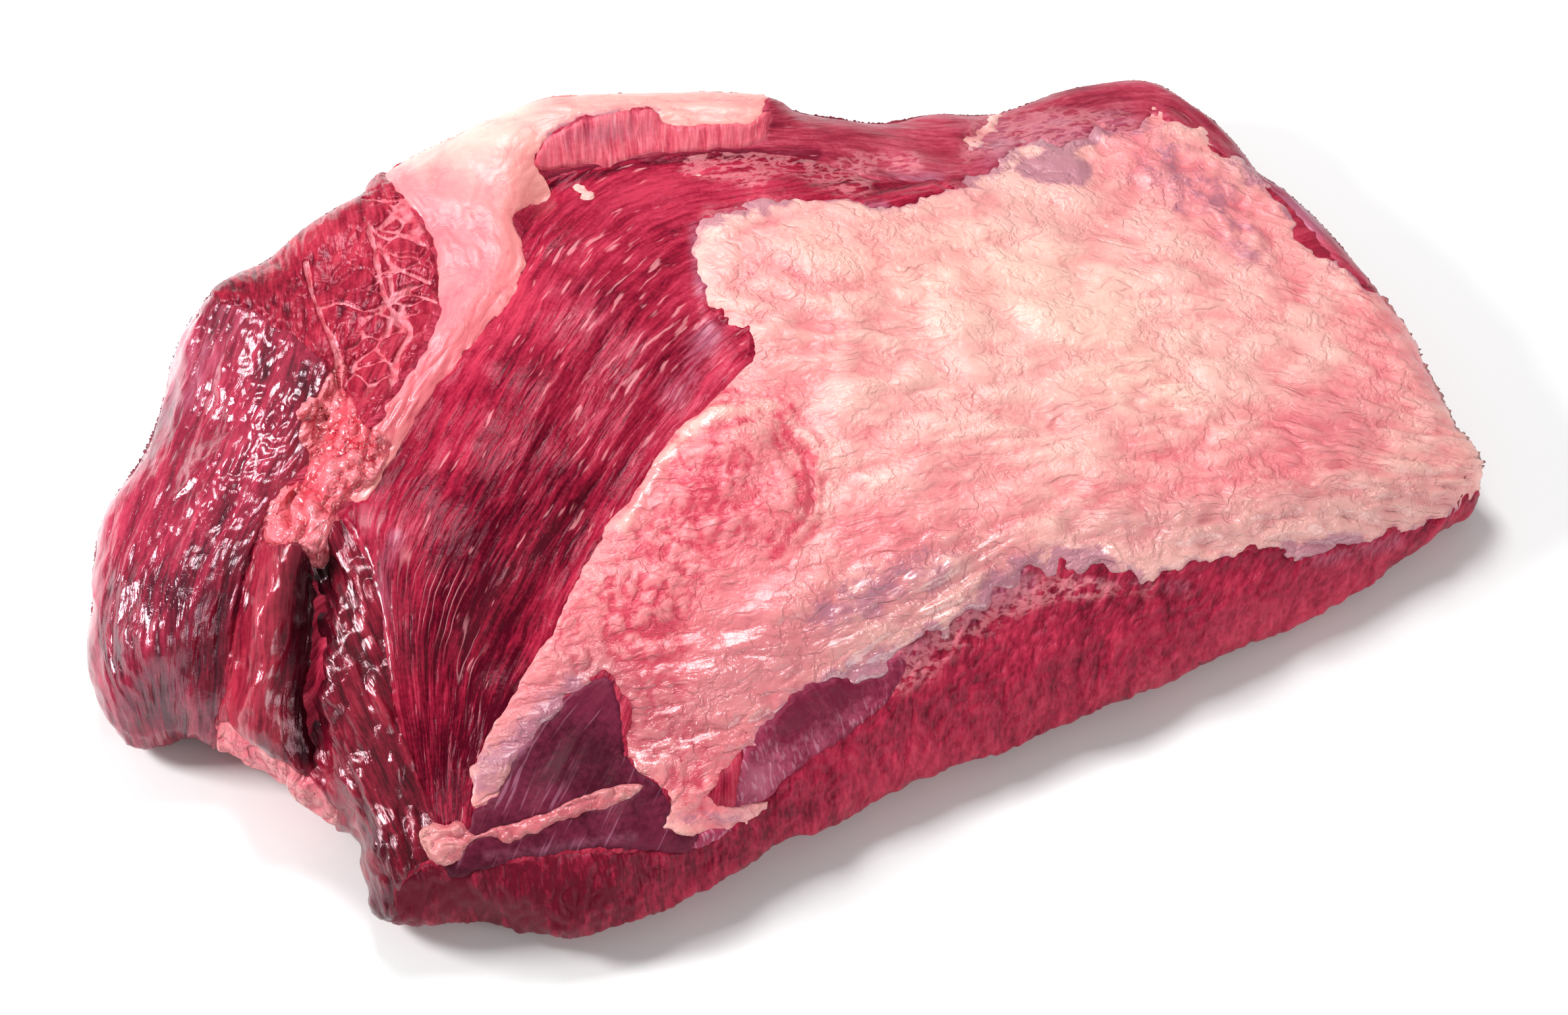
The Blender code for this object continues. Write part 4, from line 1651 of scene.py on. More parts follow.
FRONT_OUTLINE = Outline(
    (643, 1309), (690, 1323), (833, 1292), (952, 1288), (1047, 1285), (1095, 1261),
    (1166, 1190), (1262, 1066), (1336, 975), (1440, 905), (1520, 860), (1583, 810),
    (1714, 851), (1856, 833), (2023, 821), (2178, 779), (2261, 714), (2332, 762), (2237, 904),
    (1785, 1107), (1345, 1285), (1012, 1464), (575, 1499), (580, 1375),
)
BACK_OUTLINE = Outline(
    (821, 286), (833, 232), (875, 173), (988, 167), (1166, 149), (1261, 155), (1464, 155),
    (1666, 101), (1773, 75), (1868, 172), (2106, 386), (2059, 428), (1952, 312), (1821, 214),
    (1761, 190), (1726, 250), (1642, 286), (1488, 286), (1416, 298), (1345, 333), (1238, 256),
    (1142, 238), (1047, 244), (952, 256), (857, 268),
)
HUMP_OUTLINE = Outline(
    (806, 250), (840, 200), (890, 178), (982, 160), (1060, 180), (1150, 170), (1176, 160),
    (1168, 206), (1142, 224), (1070, 232), (998, 238), (934, 250), (886, 252), (830, 264),
)

FAT_LANES = Lanes(
    ((980, 190), (1200, 205), (1420, 235), (1640, 270), (1860, 320), (2080, 390), (2360, 520)),
    ((660, 1230), (900, 1200), (1130, 1160), (1380, 1100), (1640, 1030), (1900, 980), (2300, 940)),
)
FRONT_FOLD_LANES = Lanes(
    ((930, 1090), (1080, 1030), (1230, 930), (1380, 840), (1560, 760), (1780, 750), (2000, 720),
     (2260, 690)),
    ((1000, 1300), (1160, 1230), (1330, 1070), (1480, 960), (1600, 860), (1780, 900), (2000, 880),
     (2280, 800)),
)
DECKLE_LANES = Lanes(
    ((1150, 190), (985, 174), (850, 220), (800, 330), (790, 410), (690, 559), (560, 762)),
    ((1150, 120), (900, 130), (700, 150), (590, 260), (655, 400), (600, 560), (490, 740)),
)
BAND_LANES = Lanes(
    ((1560, 330), (1420, 400), (1280, 455), (1150, 520), (1060, 610), (960, 740), (870, 890),
     (790, 1060), (735, 1190), (700, 1320)),
    ((1500, 180), (1300, 190), (1080, 205), (900, 235), (790, 320), (720, 440), (620, 590),
     (530, 750), (560, 980), (640, 1300)),
)
LOBE_LANES = Lanes(
    ((520, 500), (500, 600), (430, 750), (375, 870), (350, 1000), (340, 1120)),
    ((290, 430), (230, 580), (160, 780), (125, 900), (125, 1000), (175, 1120)),
)
CORNER_LANES = Lanes(
    ((560, 700), (640, 880), (720, 1040), (800, 1220), (860, 1420)),
    ((360, 800), (430, 980), (500, 1150), (580, 1330), (640, 1520)),
)
FOLD_LANES = Lanes(
    ((470, 800), (480, 900), (474, 1000), (465, 1080), (480, 1180)),
    ((390, 800), (360, 900), (350, 1000), (335, 1080), (330, 1160)),
)
GRISTLE_LANES = Lanes(
    ((700, 560), (620, 660), (550, 760), (480, 870)),
    ((620, 500), (530, 560), (450, 680), (380, 800)),
)
MARBLED_LANES = Lanes(
    ((640, 280), (650, 360), (640, 440), (600, 540), (520, 680)),
    ((300, 360), (300, 400), (310, 450), (330, 520), (370, 600)),
)
FRONT_LANES = Lanes(
    ((2300, 690), (2240, 790), (2200, 870)),
    ((560, 1250), (590, 1340), (620, 1480)),
)
BACK_LANES = Lanes(
    ((820, 160), (1000, 150), (1260, 140), (1470, 140), (1760, 80), (1900, 170), (2100, 380)),
    ((820, 290), (1000, 260), (1240, 255), (1450, 290), (1720, 250), (1800, 300), (2000, 450)),
)
HUMP_LANES = Lanes(((830, 165), (840, 265)), ((1170, 140), (1165, 230)))
SILVER_LANES = Lanes(
    ((960, 1010), (860, 1120), (760, 1330)),
    ((800, 1040), (730, 1150), (670, 1290)),
)
SILVER_MIDDLE_LANES = Lanes(
    ((1300, 980), (1330, 1050), (1350, 1140)),
    ((1060, 1130), (1090, 1210), (1110, 1290)),
)


# Finishes of the pieces


BAND_FINISH = LeanFinish("band_lean")
LOBE_FINISH = LeanFinish("lobe_lean", dark=(0.060, 0.001, 0.008), middle=(0.23, 0.006, 0.028),
                         light=(0.42, 0.026, 0.066), fibre=(0.012, 0.0012), bundle=(0.030, 0.0042),
                         dash_from=0.78, facet=0.0044, roughness=0.19, specular=0.85,
                         sheen_tint=(1.0, 0.76, 0.88), coat=0.10, bump=0.0014)
CORNER_FINISH = LeanFinish("corner_lean", dark=(0.050, 0.001, 0.005), middle=(0.18, 0.004, 0.018),
                           light=(0.36, 0.022, 0.046), dash_from=0.80, facet=0.0045,
                           roughness=0.20, specular=0.60, sheen_tint=(1.0, 0.58, 0.68),
                           bump=0.0012)
FRONT_FINISH = LeanFinish("front_lean", dark=(0.12, 0.004, 0.015), middle=(0.31, 0.014, 0.042),
                          light=(0.48, 0.034, 0.075), fibre=(0.0030, 0.0014), bundle=(0.009, 0.0045),
                          dash_from=0.80, contrast=1.0, facet=0.0032, roughness=0.42,
                          specular=0.20)
BACK_FINISH = LeanFinish("back_lean", dark=(0.16, 0.006, 0.022), middle=(0.34, 0.026, 0.055),
                         light=(0.52, 0.090, 0.14), dash=(0.012, 0.0013), dash_from=0.68,
                         contrast=0.9, roughness=0.42, specular=0.25, coat=0.05)
HUMP_FINISH = LeanFinish("hump_lean", dark=(0.26, 0.014, 0.040), middle=(0.52, 0.065, 0.10),
                         light=(0.70, 0.17, 0.21), dash=(0.012, 0.0013), dash_from=0.62,
                         contrast=0.8, roughness=0.42, specular=0.25)
BODY_FINISH = LeanFinish("body_lean", dark=(0.13, 0.003, 0.014), middle=(0.32, 0.014, 0.040),
                         light=(0.48, 0.045, 0.080), dash_from=0.74, roughness=0.42, specular=0.25)
MARBLED_FINISH = MarbledFinish("marbled_lean", dark=(0.075, 0.001, 0.008), middle=(0.25, 0.007, 0.024),
                               light=(0.42, 0.030, 0.058), fibre=(0.0060, 0.0011),
                               bundle=(0.010, 0.0030), dash_from=0.84, facet=0.0030,
                               roughness=0.28, specular=0.35, coat=0.05, bump=0.0010)
CAP_FINISH = FatFinish("cap_fat")
DECKLE_FINISH = FatFinish("deckle_fat_finish", cream=(0.86, 0.38, 0.34), butter=(0.90, 0.58, 0.50),
                          pink=(0.82, 0.20, 0.23), wrinkles=(0.030, 0.0050), mottle=0.30, coat=0.15,
                          bump=0.0005)
UNDER_FINISH = FatFinish("under_fat_finish", cream=(0.76, 0.40, 0.38), pink=(0.62, 0.12, 0.16),
                         mottle=1.8, coat=0.15, bump=0.0012)
GRISTLE_FINISH = FatFinish("gristle_finish", cream=(0.80, 0.22, 0.25), butter=(0.82, 0.34, 0.33),
                           pink=(0.66, 0.075, 0.11), flush=(0.42, 0.012, 0.030),
                           wrinkles=(0.010, 0.0040), mottle=1.5, hollow_shade=0.60, roughness=0.24,
                           specular=0.60, coat=0.30, bump=0.0012)
STRAND_FINISH = FatFinish("strand_fat", cream=(0.60, 0.28, 0.26), butter=(0.66, 0.36, 0.31),
                          pink=(0.54, 0.14, 0.16), flush=(0.40, 0.03, 0.06), coat=0.25)
SILVER_FINISH = MembraneFinish("silverskin")
SILVER_MIDDLE_FINISH = MembraneFinish("silverskin_ticked", deep=(0.15, 0.010, 0.034),
                                      violet=(0.33, 0.040, 0.090), stripe=(0.55, 0.26, 0.34),
                                      stripe_size=(0.0050, 0.0014), stripe_from=0.56)


# The pieces


FIBRES = (
    Layer(Form.SWELLS, 0.060, 0.0110, 0.0008, 11),
    Layer(Form.CRESTS, 0.040, 0.0042, 0.0004, 12),
    Layer(Form.SWELLS, 0.014, 0.0020, 0.00025, 13),
)


def lean_body() -> LeanBody:
    """The body under all sheets."""
    return LeanBody("lean_body", (), BODY_FINISH, Slot.BEEF, None, (
        Layer(Form.SWELLS, 0.030, 0.0090, 0.0006, 51),
        Layer(Form.CREASES, 0.020, 0.0050, 0.0005, 52),
    ), detail=0.0022)


def front_cut() -> Sheet:
    """The cut front face, from the thick end's corner to the thin end."""
    return Sheet("front_cut", (FRONT_OUTLINE,), FRONT_FINISH, Slot.BEEF, FRONT_LANES, (
        Layer(Form.SWELLS, 0.016, 0.0110, 0.0008, 21),
        Layer(Form.CREASES, 0.0075, 0.0050, 0.00055, 22),
        Layer(Form.SWELLS, 0.0030, 0.0024, 0.00030, 23),
        Layer(Form.CREASES, 0.040, 0.0160, 0.0003, 19),
    ), tints={
        # Painted shade on the lower left of the front face.
        "dark": (Blotch(((560, 1340), (700, 1370), (900, 1350)), 80, 1.0),
                 Blotch(((1000, 1330), (1200, 1240)), 60, 0.35)),
        "film": (Blotch(((2000, 850), (2120, 820)), 22, 0.6),
                 Blotch(((1330, 1020), (1460, 930), (1560, 880)), 36, 0.75),
                 Blotch(((1640, 880), (1800, 890)), 16, 0.6)),
        "net": (Blotch(((1360, 1030), (1500, 930), (1600, 890)), 40, 0.75),
                Blotch(((1640, 890), (1800, 900)), 22, 0.5)),
        # Painted light on the right part of the front face.
        "bright": (Blotch(((1250, 1210), (1600, 1080), (2000, 940)), 60, 0.25),),
    })


def silverskin_left() -> Sheet:
    """Bare silverskin between the band muscle and the cap of fat."""
    return Sheet("silverskin_left", (SILVER_LEFT_OUTLINE,), SILVER_FINISH, Slot.BEEF, SILVER_LANES, (
        Layer(Form.SWELLS, 0.030, 0.0060, 0.0004, 24),
    ), detail=0.0006, rise=0.0003, tints={
        "film": (Blotch(((740, 1200), (800, 1120)), 18, 0.7),
                 Blotch(((740, 1300), (860, 1285), (960, 1270)), 14, 0.45)),
    })


def silverskin_middle() -> Sheet:
    """Bare silverskin with pale ticks, under the middle of the fat's lower edge."""
    return Sheet("silverskin_middle", (SILVER_MIDDLE_OUTLINE,), SILVER_MIDDLE_FINISH, Slot.BEEF,
                 SILVER_MIDDLE_LANES, (Layer(Form.CRESTS, 0.008, 0.0035, 0.0004, 25),),
                 detail=0.0006, rise=0.0003, tints={
        "film": (Blotch(((1130, 1200), (1230, 1110), (1320, 1040)), 50, 0.4),),
    })


def back_strip() -> Sheet:
    """Bare muscle along the back edge, behind the band muscle and the cap of fat."""
    return Sheet("back_strip", (BACK_OUTLINE,), BACK_FINISH, Slot.BEEF, BACK_LANES, FIBRES,
                 wall=0.012, tints={
        "film": (Blotch(((1530, 235), (1680, 200)), 60, 0.9),
                 Blotch(((1990, 340), (1900, 250)), 40, 0.9),
                 Blotch(((1300, 260), (1420, 280)), 20, 0.8)),
        "net": (Blotch(((1280, 250), (1380, 250)), 24, 0.8),
                Blotch(((1480, 210), (1700, 190)), 50, 0.7)),
        # Painted shade along the back edges and in the crease by the band muscle.
        "dark": (Blotch(((1180, 150), (1500, 160), (1720, 105)), 14, 0.5),
                 Blotch(((1800, 130), (2070, 390)), 14, 0.7),
                 Blotch(((821, 280), (900, 258), (1000, 244), (1100, 234), (1238, 236)), 9, 1.3)),
    })


def hump_wall() -> Sheet:
    """Pale wall of the hump, under the deckle fat."""
    return Sheet("hump_wall", (HUMP_OUTLINE,), HUMP_FINISH, Slot.BEEF, HUMP_LANES, (
        Layer(Form.CRESTS, 0.018, 0.0040, 0.0003, 61),
    ), detail=0.0006, rise=0.0002, tints={
        "film": (Blotch(((860, 210), (980, 195)), 30, 0.5),),
    })


def band_muscle() -> Sheet:
    """Broad bare muscle between the deckle fat and the cap of fat."""
    return Sheet("band_muscle", (BAND_OUTLINE,), BAND_FINISH, Slot.BEEF, BAND_LANES, FIBRES,
                 detail=0.00086, tints={
        "strands": (Blotch(((900, 400), (1000, 500), (880, 620)), 110, 1.0),),
        # Membrane patches, the first of them a painted lilac sheen at the lower left.
        "film": (Blotch(((572, 950), (578, 880), (600, 820)), 22, 0.7),
                 Blotch(((1080, 510), (1020, 600)), 34, 0.8),
                 Blotch(((860, 420), (960, 520)), 70, 0.35),
                 Blotch(((1060, 350), (1070, 440)), 20, 0.9),
                 Blotch(((1100, 330), (1340, 320)), 18, 0.9)),
        # Pale sinew lines at the lower left, partly painted glints.
        "sinews": (Blotch(((640, 860), (700, 960), (740, 1050)), 90, 0.66),
                   Blotch(((900, 520), (1000, 440)), 50, 0.4)),
        "net": (Blotch(((1060, 250), (1180, 240), (1300, 265)), 34, 1.0),
                Blotch(((1080, 330), (1200, 310)), 24, 0.5)),
        # Painted shade in the crease at the top and towards the lower left, partly the muscle's deeper
        # tone.
        "dark": (Blotch(((980, 640), (830, 880), (740, 1130)), 50, 0.45),
                 Blotch(((720, 960), (670, 1220)), 90, 0.85),
                 Blotch(((780, 700), (660, 900)), 80, 0.60),
                 Blotch(((821, 284), (900, 264), (1000, 248), (1100, 238), (1238, 246)), 8, 0.9)),
        # Painted light on the upper parts, partly the muscle's paler tone.
        "bright": (Blotch(((850, 300), (1000, 290), (1150, 290)), 60, 0.5),
                   Blotch(((800, 420), (720, 560)), 30, 0.5),
                   Blotch(((1100, 560), (1010, 650)), 36, 0.9),
                   Blotch(((920, 790), (810, 980)), 28, 0.35)),
        "wet": (Blotch(((562, 830), (590, 940), (620, 1000)), 34, 0.8),
                Blotch(((700, 980), (760, 900), (830, 800)), 26, 0.5)),
    })


def corner_muscle() -> Sheet:
    """Low wet muscle at the near corner of the thick end."""
    return Sheet("corner_muscle", (CORNER_OUTLINE,), CORNER_FINISH, Slot.BEEF, CORNER_LANES, (
        Layer(Form.CREASES, 0.022, 0.0100, 0.0016, 26),
        Layer(Form.CREASES, 0.010, 0.0050, 0.0006, 27),
        Layer(Form.SWELLS, 0.005, 0.0030, 0.0003, 28),
    ), detail=0.0006, rise=0.0002, tints={
        # Painted shadow deep in the cleft.
        "void": (Blotch(((476, 850), (464, 1000), (468, 1090)), 25, 1.4),),
        # Painted shade beside the cleft and at the bottom.
        "dark": (Blotch(((474, 860), (462, 1060)), 40, 0.6),
                 Blotch(((560, 1400), (600, 1460)), 60, 0.8)),
        "wet": (Blotch(((510, 880), (550, 1060), (590, 1220)), 50, 0.7),),
    })


def end_lobe() -> Sheet:
    """Wet rounded lobe at the thick end."""
    return Sheet("end_lobe", (LOBE_OUTLINE,), LOBE_FINISH, Slot.BEEF, LOBE_LANES, (
        Layer(Form.SWELLS, 0.050, 0.0120, 0.0012, 14),
        Layer(Form.CRESTS, 0.022, 0.0050, 0.0007, 15),
        Layer(Form.CREASES, 0.0060, 0.0036, 0.0006, 62, "crinkled"),
        Layer(Form.SWELLS, 0.006, 0.0026, 0.00035, 16),
    ), rise=0.0003, tints={
        # Painted shade on the lower left.
        "dark": (Blotch(((300, 900), (250, 1050)), 90, 0.5),),
        "crinkled": (Blotch(((360, 520), (400, 640), (330, 760)), 90, 1.0),),
        # Painted lilac sheen at the top and on the left edge.
        "film": (Blotch(((330, 450), (260, 580)), 80, 0.60),
                 Blotch(((200, 700), (120, 860)), 50, 0.35)),
        "wet": (Blotch(((340, 480), (420, 640), (340, 780)), 70, 0.6),),
        # Painted light on the left and at the top.
        "bright": (Blotch(((200, 700), (130, 900)), 40, 0.3),
                   Blotch(((340, 440), (290, 400)), 40, 0.4)),
    })


def cleft_fold() -> Sheet:
    """Fold of meat in the cleft between the lobe and the corner muscle."""
    return Sheet("cleft_fold", (FOLD_OUTLINE,), CORNER_FINISH, Slot.BEEF, FOLD_LANES, (
        Layer(Form.CRESTS, 0.020, 0.0055, 0.0010, 29),
        Layer(Form.SWELLS, 0.008, 0.0028, 0.0004, 30),
    ), detail=0.0006, rise=0.0006, tints={
        # Painted shadow deep in the cleft.
        "void": (Blotch(((472, 860), (456, 1000), (470, 1140)), 25, 1.4),),
        # Painted shade beside the cleft.
        "dark": (Blotch(((470, 880), (456, 1000), (470, 1140)), 36, 0.7),),
        # Painted light along the fold's outer side.
        "bright": (Blotch(((400, 880), (370, 1100)), 30, 0.5),),
        "wet": (Blotch(((425, 850), (405, 1000), (395, 1130)), 34, 0.9),),
    })


def marbled_face() -> MarbledFace:
    """Marbled face between the lobe and the deckle fat."""
    return MarbledFace("marbled_face", (MARBLED_OUTLINE,), MARBLED_FINISH, Slot.BEEF, MARBLED_LANES, (
        Layer(Form.CRESTS, 0.006, 0.0030, 0.0004, 17),
        Layer(Form.SWELLS, 0.003, 0.0016, 0.0002, 18),
    ), detail=0.0006, rise=0.0004, tints={
        "fatty": (Blotch(((610, 330), (600, 470), (560, 570)), 62, 1.0),
                  Blotch(((520, 430), (480, 470)), 40, 0.5)),
        # Painted shade at the lower left, by the crease along the lobe.
        "dark": (Blotch(((380, 470), (440, 520)), 50, 0.4),),
    }, trunks=(
        (Path((465, 400), (474, 446), (493, 493), (509, 530)), 5.0),
        (Path((505, 515), (512, 550), (508, 585), (493, 613)), 8.0),
        (Path((560, 350), (567, 372), (576, 418), (590, 465), (623, 502)), 6.0),
        (Path((600, 480), (625, 505), (606, 540), (597, 586)), 7.0),
        (Path((553, 335), (581, 362), (612, 362), (644, 374)), 3.6),
        (Path((570, 420), (604, 412), (652, 430)), 3.6),
        (Path((584, 456), (623, 448), (662, 460)), 3.4),
        (Path((553, 304), (595, 306), (628, 296)), 3.0),
        (Path((483, 470), (520, 462), (556, 474), (588, 462)), 3.0),
    ))


def under_fat() -> Sheet:
    """Scraps of fat under the fold, at the notch of the thick end."""
    return Sheet("under_fat", (UNDER_FAT_OUTLINE,), UNDER_FINISH, Slot.FAT, FOLD_LANES, (
        Layer(Form.SWELLS, 0.010, 0.0060, 0.0006, 63),
        Layer(Form.CREASES, 0.020, 0.0045, 0.0008, 64),
    ), detail=0.0006, rise=0.0003, tints={
        "pink": (Blotch(((400, 1180),), 200, 0.7),),
        "flush": (Blotch(((400, 1180),), 200, 0.3),),
    })


def deckle_fat() -> Sheet:
    """Thick pale fat over the hump, which runs down between the muscles."""
    return Sheet("deckle_fat", (DECKLE_OUTLINE,), DECKLE_FINISH, Slot.FAT, DECKLE_LANES, (
        Layer(Form.CREASES, 0.040, 0.0120, 0.0004, 33),
        Layer(Form.SWELLS, 0.010, 0.0060, 0.0004, 34),
        Layer(Form.CREASES, 0.0080, 0.0035, 0.0002, 38),
        Layer(Form.CREASES, 0.015, 0.0045, 0.0006, 35, "folds"),
    ), wall=0.014, tints={
        "pink": (Blotch(((650, 330), (720, 400), (650, 540)), 110, 0.75),
                 Blotch(((640, 580), (560, 660), (520, 740)), 60, 0.6)),
        # Yellower fat at the top, partly painted light where it faces up.
        "butter": (Blotch(((620, 210), (760, 160)), 60, 1.2),
                   Blotch(((850, 150), (1150, 130)), 40, 0.1)),
        "flush": (Blotch(((560, 660), (520, 740)), 50, 0.35),
                  Blotch(((840, 230), (800, 300)), 24, 0.4)),
        "wet": (Blotch(((560, 620), (520, 740)), 70, 0.9),),
        "folds": (Blotch(((640, 560), (530, 740)), 60, 1.2),),
        "thin": (Blotch(((840, 210), (900, 180), (980, 175)), 40, 0.8),),
    })


def gristle() -> Sheet:
    """Wet red lumps of gristle beside the cleft."""
    return Sheet("gristle", (GRISTLE_OUTLINE,), GRISTLE_FINISH, Slot.FAT, GRISTLE_LANES, (
        Layer(Form.CREASES, 0.0120, 0.0075, 0.0021, 36),
        Layer(Form.CREASES, 0.0060, 0.0042, 0.0010, 37),
    ), detail=0.0005, rise=0.0022, ragged=0.0022, tints={
        "pink": (Blotch(((480, 740), (420, 800)), 60, 0.5),
                 Blotch(((510, 570), (530, 640)), 40, 0.6)),
        "flush": (Blotch(((540, 690), (500, 640)), 40, 0.6),),
        "wet": (Blotch(((500, 600), (420, 800)), 120, 0.9),),
    })


def fat_cap() -> FatCap:
    """The cap of fat over the thin end, with its islands at the back."""
    return FatCap("fat_cap", (FAT_CAP_OUTLINE, *FAT_ISLANDS), CAP_FINISH, Slot.FAT, FAT_LANES, (
        Layer(Form.CREASES, 0.034, 0.0130, 0.0010, 41),
        Layer(Form.CREASES, 0.018, 0.0060, 0.0004, 42),
        Layer(Form.SWELLS, 0.015, 0.0100, 0.0006, 43),
        Layer(Form.CRESTS, 0.0110, 0.0080, 0.0014, 49, "tangle"),
        Layer(Form.CREASES, 0.030, 0.0070, 0.0013, 50, "waves"),
        Layer(Form.CREASES, 0.040, 0.0085, 0.0010, 44, "folds", FRONT_FOLD_LANES),
        Layer(Form.CREASES, 0.014, 0.0040, 0.0006, 45, "folds", FRONT_FOLD_LANES),
        Layer(Form.CREASES, 0.016, 0.0052, 0.0009, 47, "ripples"),
    ), detail=0.00119, rise=0.0003, wall=0.020, ragged=0.0030, tints={
        "crisp": (Blotch(((1120, 560), (1023, 649), (916, 797), (821, 976), (740, 1110)), 40, 0.9),
                  Blotch(((2090, 430), (2190, 560), (2270, 700)), 40, 0.8)),
        "grainy": (
            Blotch(((1080, 740), (980, 880), (900, 1000)), 110, 1.0),
            Blotch(((1000, 1100), (1050, 1200)), 60, 0.9),
            Blotch(((1150, 350), (1120, 420)), 50, 0.5),
        ),
        "tangle": (Blotch(((1660, 190), (1780, 230), (1920, 330)), 75, 1.0),
                   Blotch(((1600, 800), (1800, 800), (2000, 800)), 40, 0.8)),
        "waves": (Blotch(((1120, 560), (1300, 560), (1560, 640)), 80, 1.0),
                  Blotch(((1150, 450), (1300, 470)), 40, 0.7)),
        "ripples": (Blotch(((1750, 600), (2000, 680), (2200, 720)), 130, 1.0),
                    Blotch(((1200, 480), (1400, 540)), 60, 0.6)),
        "pink": (
            Blotch(((1230, 400), (1400, 340)), 90, 0.30),
            Blotch(((1720, 240), (1850, 330), (1960, 400)), 80, 0.45),
            Blotch(((1080, 740), (960, 900), (860, 1100)), 150, 1.0),
            Blotch(((1150, 900), (1080, 1150)), 120, 0.8),
            Blotch(((1350, 820), (1500, 780)), 90, 0.55),
            Blotch(((1750, 740), (2000, 660), (2120, 540)), 90, 0.65),
            Blotch(((1150, 420), (1300, 380)), 90, 0.20),
            Blotch(((1350, 650), (1200, 560)), 90, 0.15),
            Blotch(((1700, 210), (1900, 300)), 60, 0.4),
        ),
        # Yellower fat, partly painted light on the broad part that faces the lights.
        "butter": (
            Blotch(((1300, 380), (1600, 450), (1750, 560)), 120, 0.9),
            Blotch(((2150, 700), (2230, 740)), 40, 0.5),
        ),
        "flush": (
            Blotch(((1095, 740),), 85, 0.75),
            Blotch(((980, 900), (900, 1080)), 90, 0.45),
            Blotch(((1030, 1000), (1060, 1160)), 60, 0.45),
            Blotch(((2030, 420), (2090, 450)), 40, 0.6),
            Blotch(((1228, 700), (1215, 760)), 14, 0.7),
            Blotch(((1600, 790), (1650, 740)), 40, 0.4),
            Blotch(((1900, 740), (2080, 700), (2220, 720)), 50, 0.35),
        ),
        # Painted shade on the lower slopes that face the front, partly duller tone.
        "dark": (
            Blotch(((1000, 1130), (1150, 1010), (1300, 960), (1480, 880)), 80, 0.45),
            Blotch(((900, 1040), (760, 1160)), 60, 0.65),
            Blotch(((1650, 810), (1900, 790), (2180, 760)), 50, 0.35),
            Blotch(((2000, 640), (2180, 650)), 60, 0.15),
        ),
        "film": (
            Blotch(((1260, 930), (1420, 860)), 45, 0.75),
            Blotch(((1130, 1180), (1200, 1080), (1340, 1000)), 30, 0.8),
            Blotch(((730, 1190), (800, 1110), (870, 1050)), 34, 0.9),
            Blotch(((1500, 900), (1560, 860), (1650, 850)), 34, 0.75),
            Blotch(((1560, 255), (1640, 262)), 20, 1.4),
            Blotch(((1660, 200), (1600, 215)), 22, 0.9),
            Blotch(((1900, 390), (1840, 300), (1760, 230)), 45, 0.62),
            Blotch(((1700, 260), (1780, 310)), 30, 0.35),
            Blotch(((1740, 600), (1720, 690)), 36, 0.35),
            Blotch(((2050, 820), (1960, 840)), 20, 0.8),
            Blotch(((1000, 1245), (1120, 1240)), 18, 0.6),
        ),
        "thin": (Blotch(((1060, 340), (1300, 290), (1500, 260), (1700, 190)), 60, 1.0),
                 Blotch(((1900, 240), (2080, 410)), 50, 1.0),
                 Blotch(((1180, 1200), (1380, 1000), (1560, 860), (1900, 860), (2240, 780)), 60, 0.8)),
        "wet": (
            Blotch(((900, 1150), (1200, 1000), (1450, 880)), 110, 1.0),
            Blotch(((1700, 820), (2100, 760)), 60, 0.7),
        ),
        "folds": (
            Blotch(((1100, 1150), (1300, 980), (1500, 850)), 80, 0.9),
            Blotch(((1650, 810), (1950, 810), (2200, 760)), 40, 0.7),
        ),
    })


def fat_strand() -> Sheet:
    """Strand of fat across the silverskin."""
    return Sheet("fat_strand", (STRAND_OUTLINE,), STRAND_FINISH, Slot.FAT, FRONT_FOLD_LANES, (
        Layer(Form.CREASES, 0.010, 0.0040, 0.0006, 46),
        Layer(Form.BEADS, 0.006, 0.0045, 0.0005, 48),
    ), detail=0.0005, rise=0.0014, tints={
        "pink": (Blotch(((820, 1240),), 200, 0.8),),
        "wet": (Blotch(((820, 1240),), 200, 0.7),),
    })


def lean_sheets() -> list[Sheet]:
    """The muscles and membranes, from the lowest to the uppermost."""
    return [
        front_cut(), silverskin_left(), silverskin_middle(), back_strip(), hump_wall(),
        band_muscle(), corner_muscle(), end_lobe(), cleft_fold(), marbled_face(),
    ]


def fat_sheets() -> list[Sheet]:
    """The sheets of fat and gristle, from the lowest to the uppermost."""
    return [under_fat(), deckle_fat(), gristle(), fat_cap(), fat_strand()]


# Studio


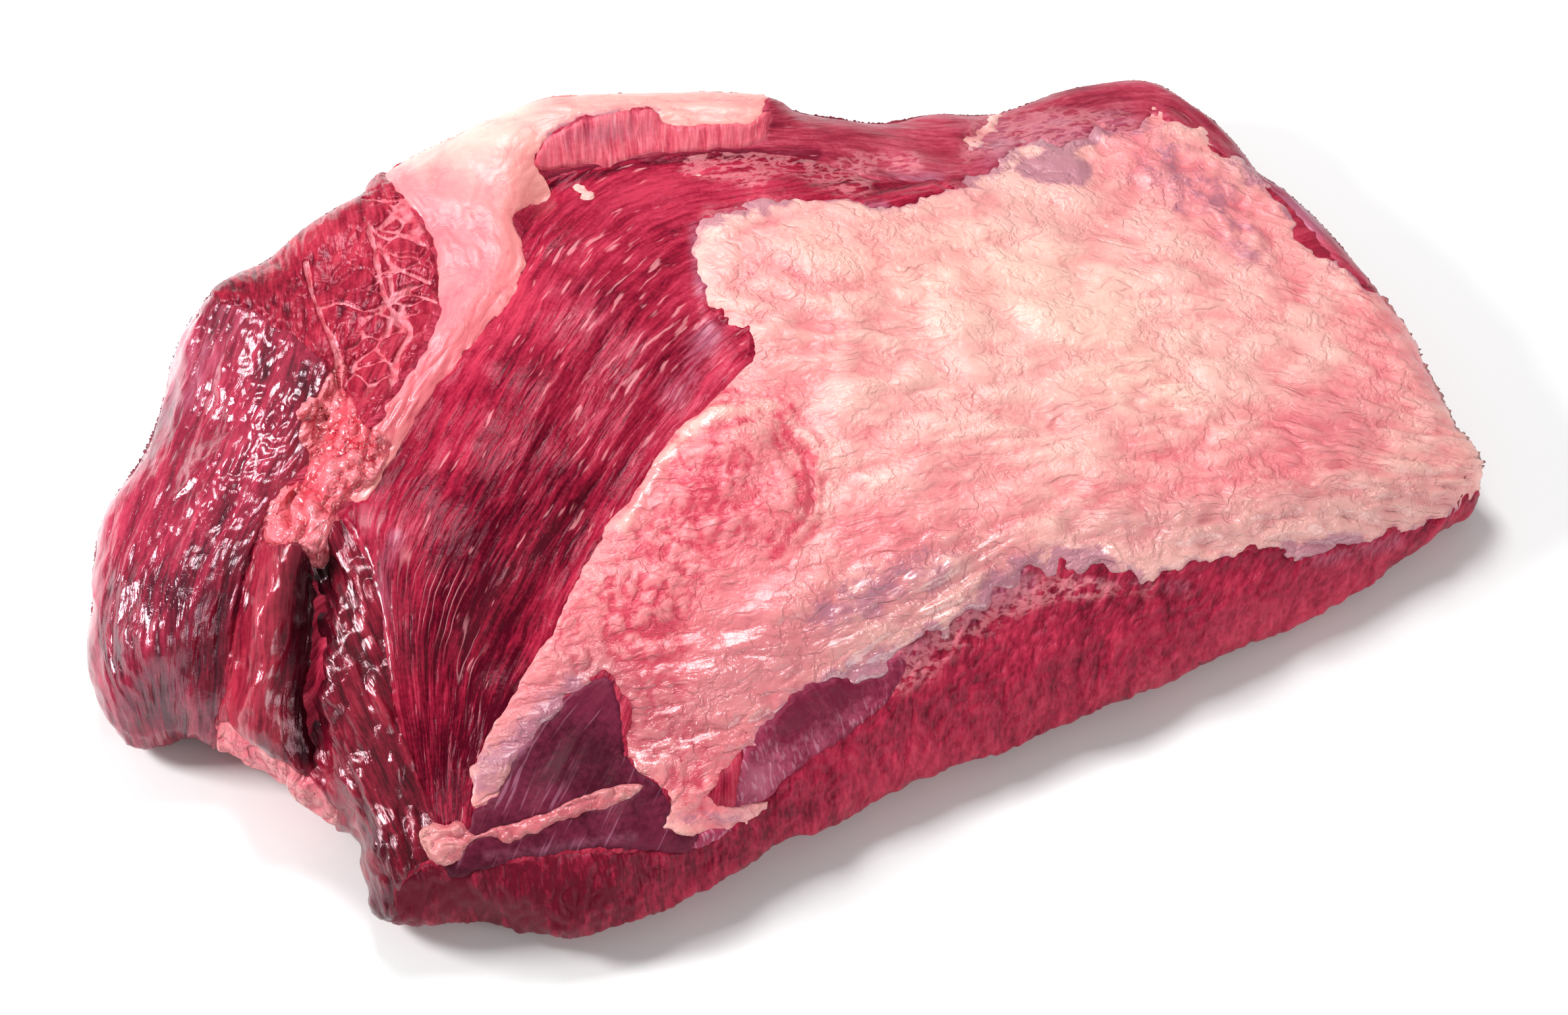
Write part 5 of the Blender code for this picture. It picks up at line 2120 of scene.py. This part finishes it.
@dataclass(frozen=True)
class SoftBox:
    """A square soft light that looks at the meat."""

    name: str
    place: tuple[float, float, float]
    size: float
    power: float

    def build(self) -> None:
        """Adds the light."""
        data = bpy.data.lights.new(self.name, "AREA")
        data.size = self.size
        data.energy = self.power
        light = bpy.data.objects.new(self.name, data)
        bpy.context.scene.collection.objects.link(light)
        light.location = self.place
        aim = Vector(VIEW.target) - Vector(self.place)
        light.rotation_mode = "QUATERNION"
        light.rotation_quaternion = aim.to_track_quat("-Z", "Y")


@dataclass(frozen=True)
class Studio:
    """Pale floor, even room light and soft lights."""

    floor_size: float = 6.0
    floor_drop: float = 0.0004
    floor_colour: Colour = (0.86, 0.86, 0.86)
    room_light: float = 0.32
    boxes: tuple[SoftBox, ...] = (
        SoftBox("left_box", (-0.95, 0.28, 0.66), 0.27, 13.0),
        SoftBox("top_box", (0.05, 0.50, 1.15), 0.40, 11.8),
        SoftBox("front_box", (0.60, -1.38, 0.55), 0.80, 11.0),
    )

    def build(self) -> None:
        """Adds the floor, the room light, the soft boxes and the camera."""
        bpy.ops.object.select_all(action="DESELECT")
        bpy.ops.mesh.primitive_plane_add(size=self.floor_size, location=(0, 0, -self.floor_drop))
        floor = bpy.context.object
        floor.name = "floor"
        graph = Graph("pale_floor")
        floor.data.materials.append(graph.finish(Base_Color=self.floor_colour, Roughness=0.9))
        world = bpy.data.worlds.new("room")
        world.use_nodes = True
        background = world.node_tree.nodes["Background"]
        background.inputs["Color"].default_value = (1.0, 1.0, 1.0, 1.0)
        background.inputs["Strength"].default_value = self.room_light
        bpy.context.scene.world = world
        bpy.context.scene.view_settings.view_transform = "Standard"
        for box in self.boxes:
            box.build()
        VIEW.place_camera()


def main() -> None:
    """Builds the studio and the brisket, piece by piece."""
    logging.basicConfig(level=logging.INFO, format="%(name)s %(message)s")
    bpy.ops.object.select_all(action="DESELECT")
    Studio().build()
    skin = Skin(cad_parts[NODE])
    sheets = [*lean_sheets(), *fat_sheets()]
    lean_body().build(skin, sheets)
    for index, sheet in enumerate(sheets):
        sheet.build(skin, sheets[index + 1:])


if __name__ == "__main__":
    main()
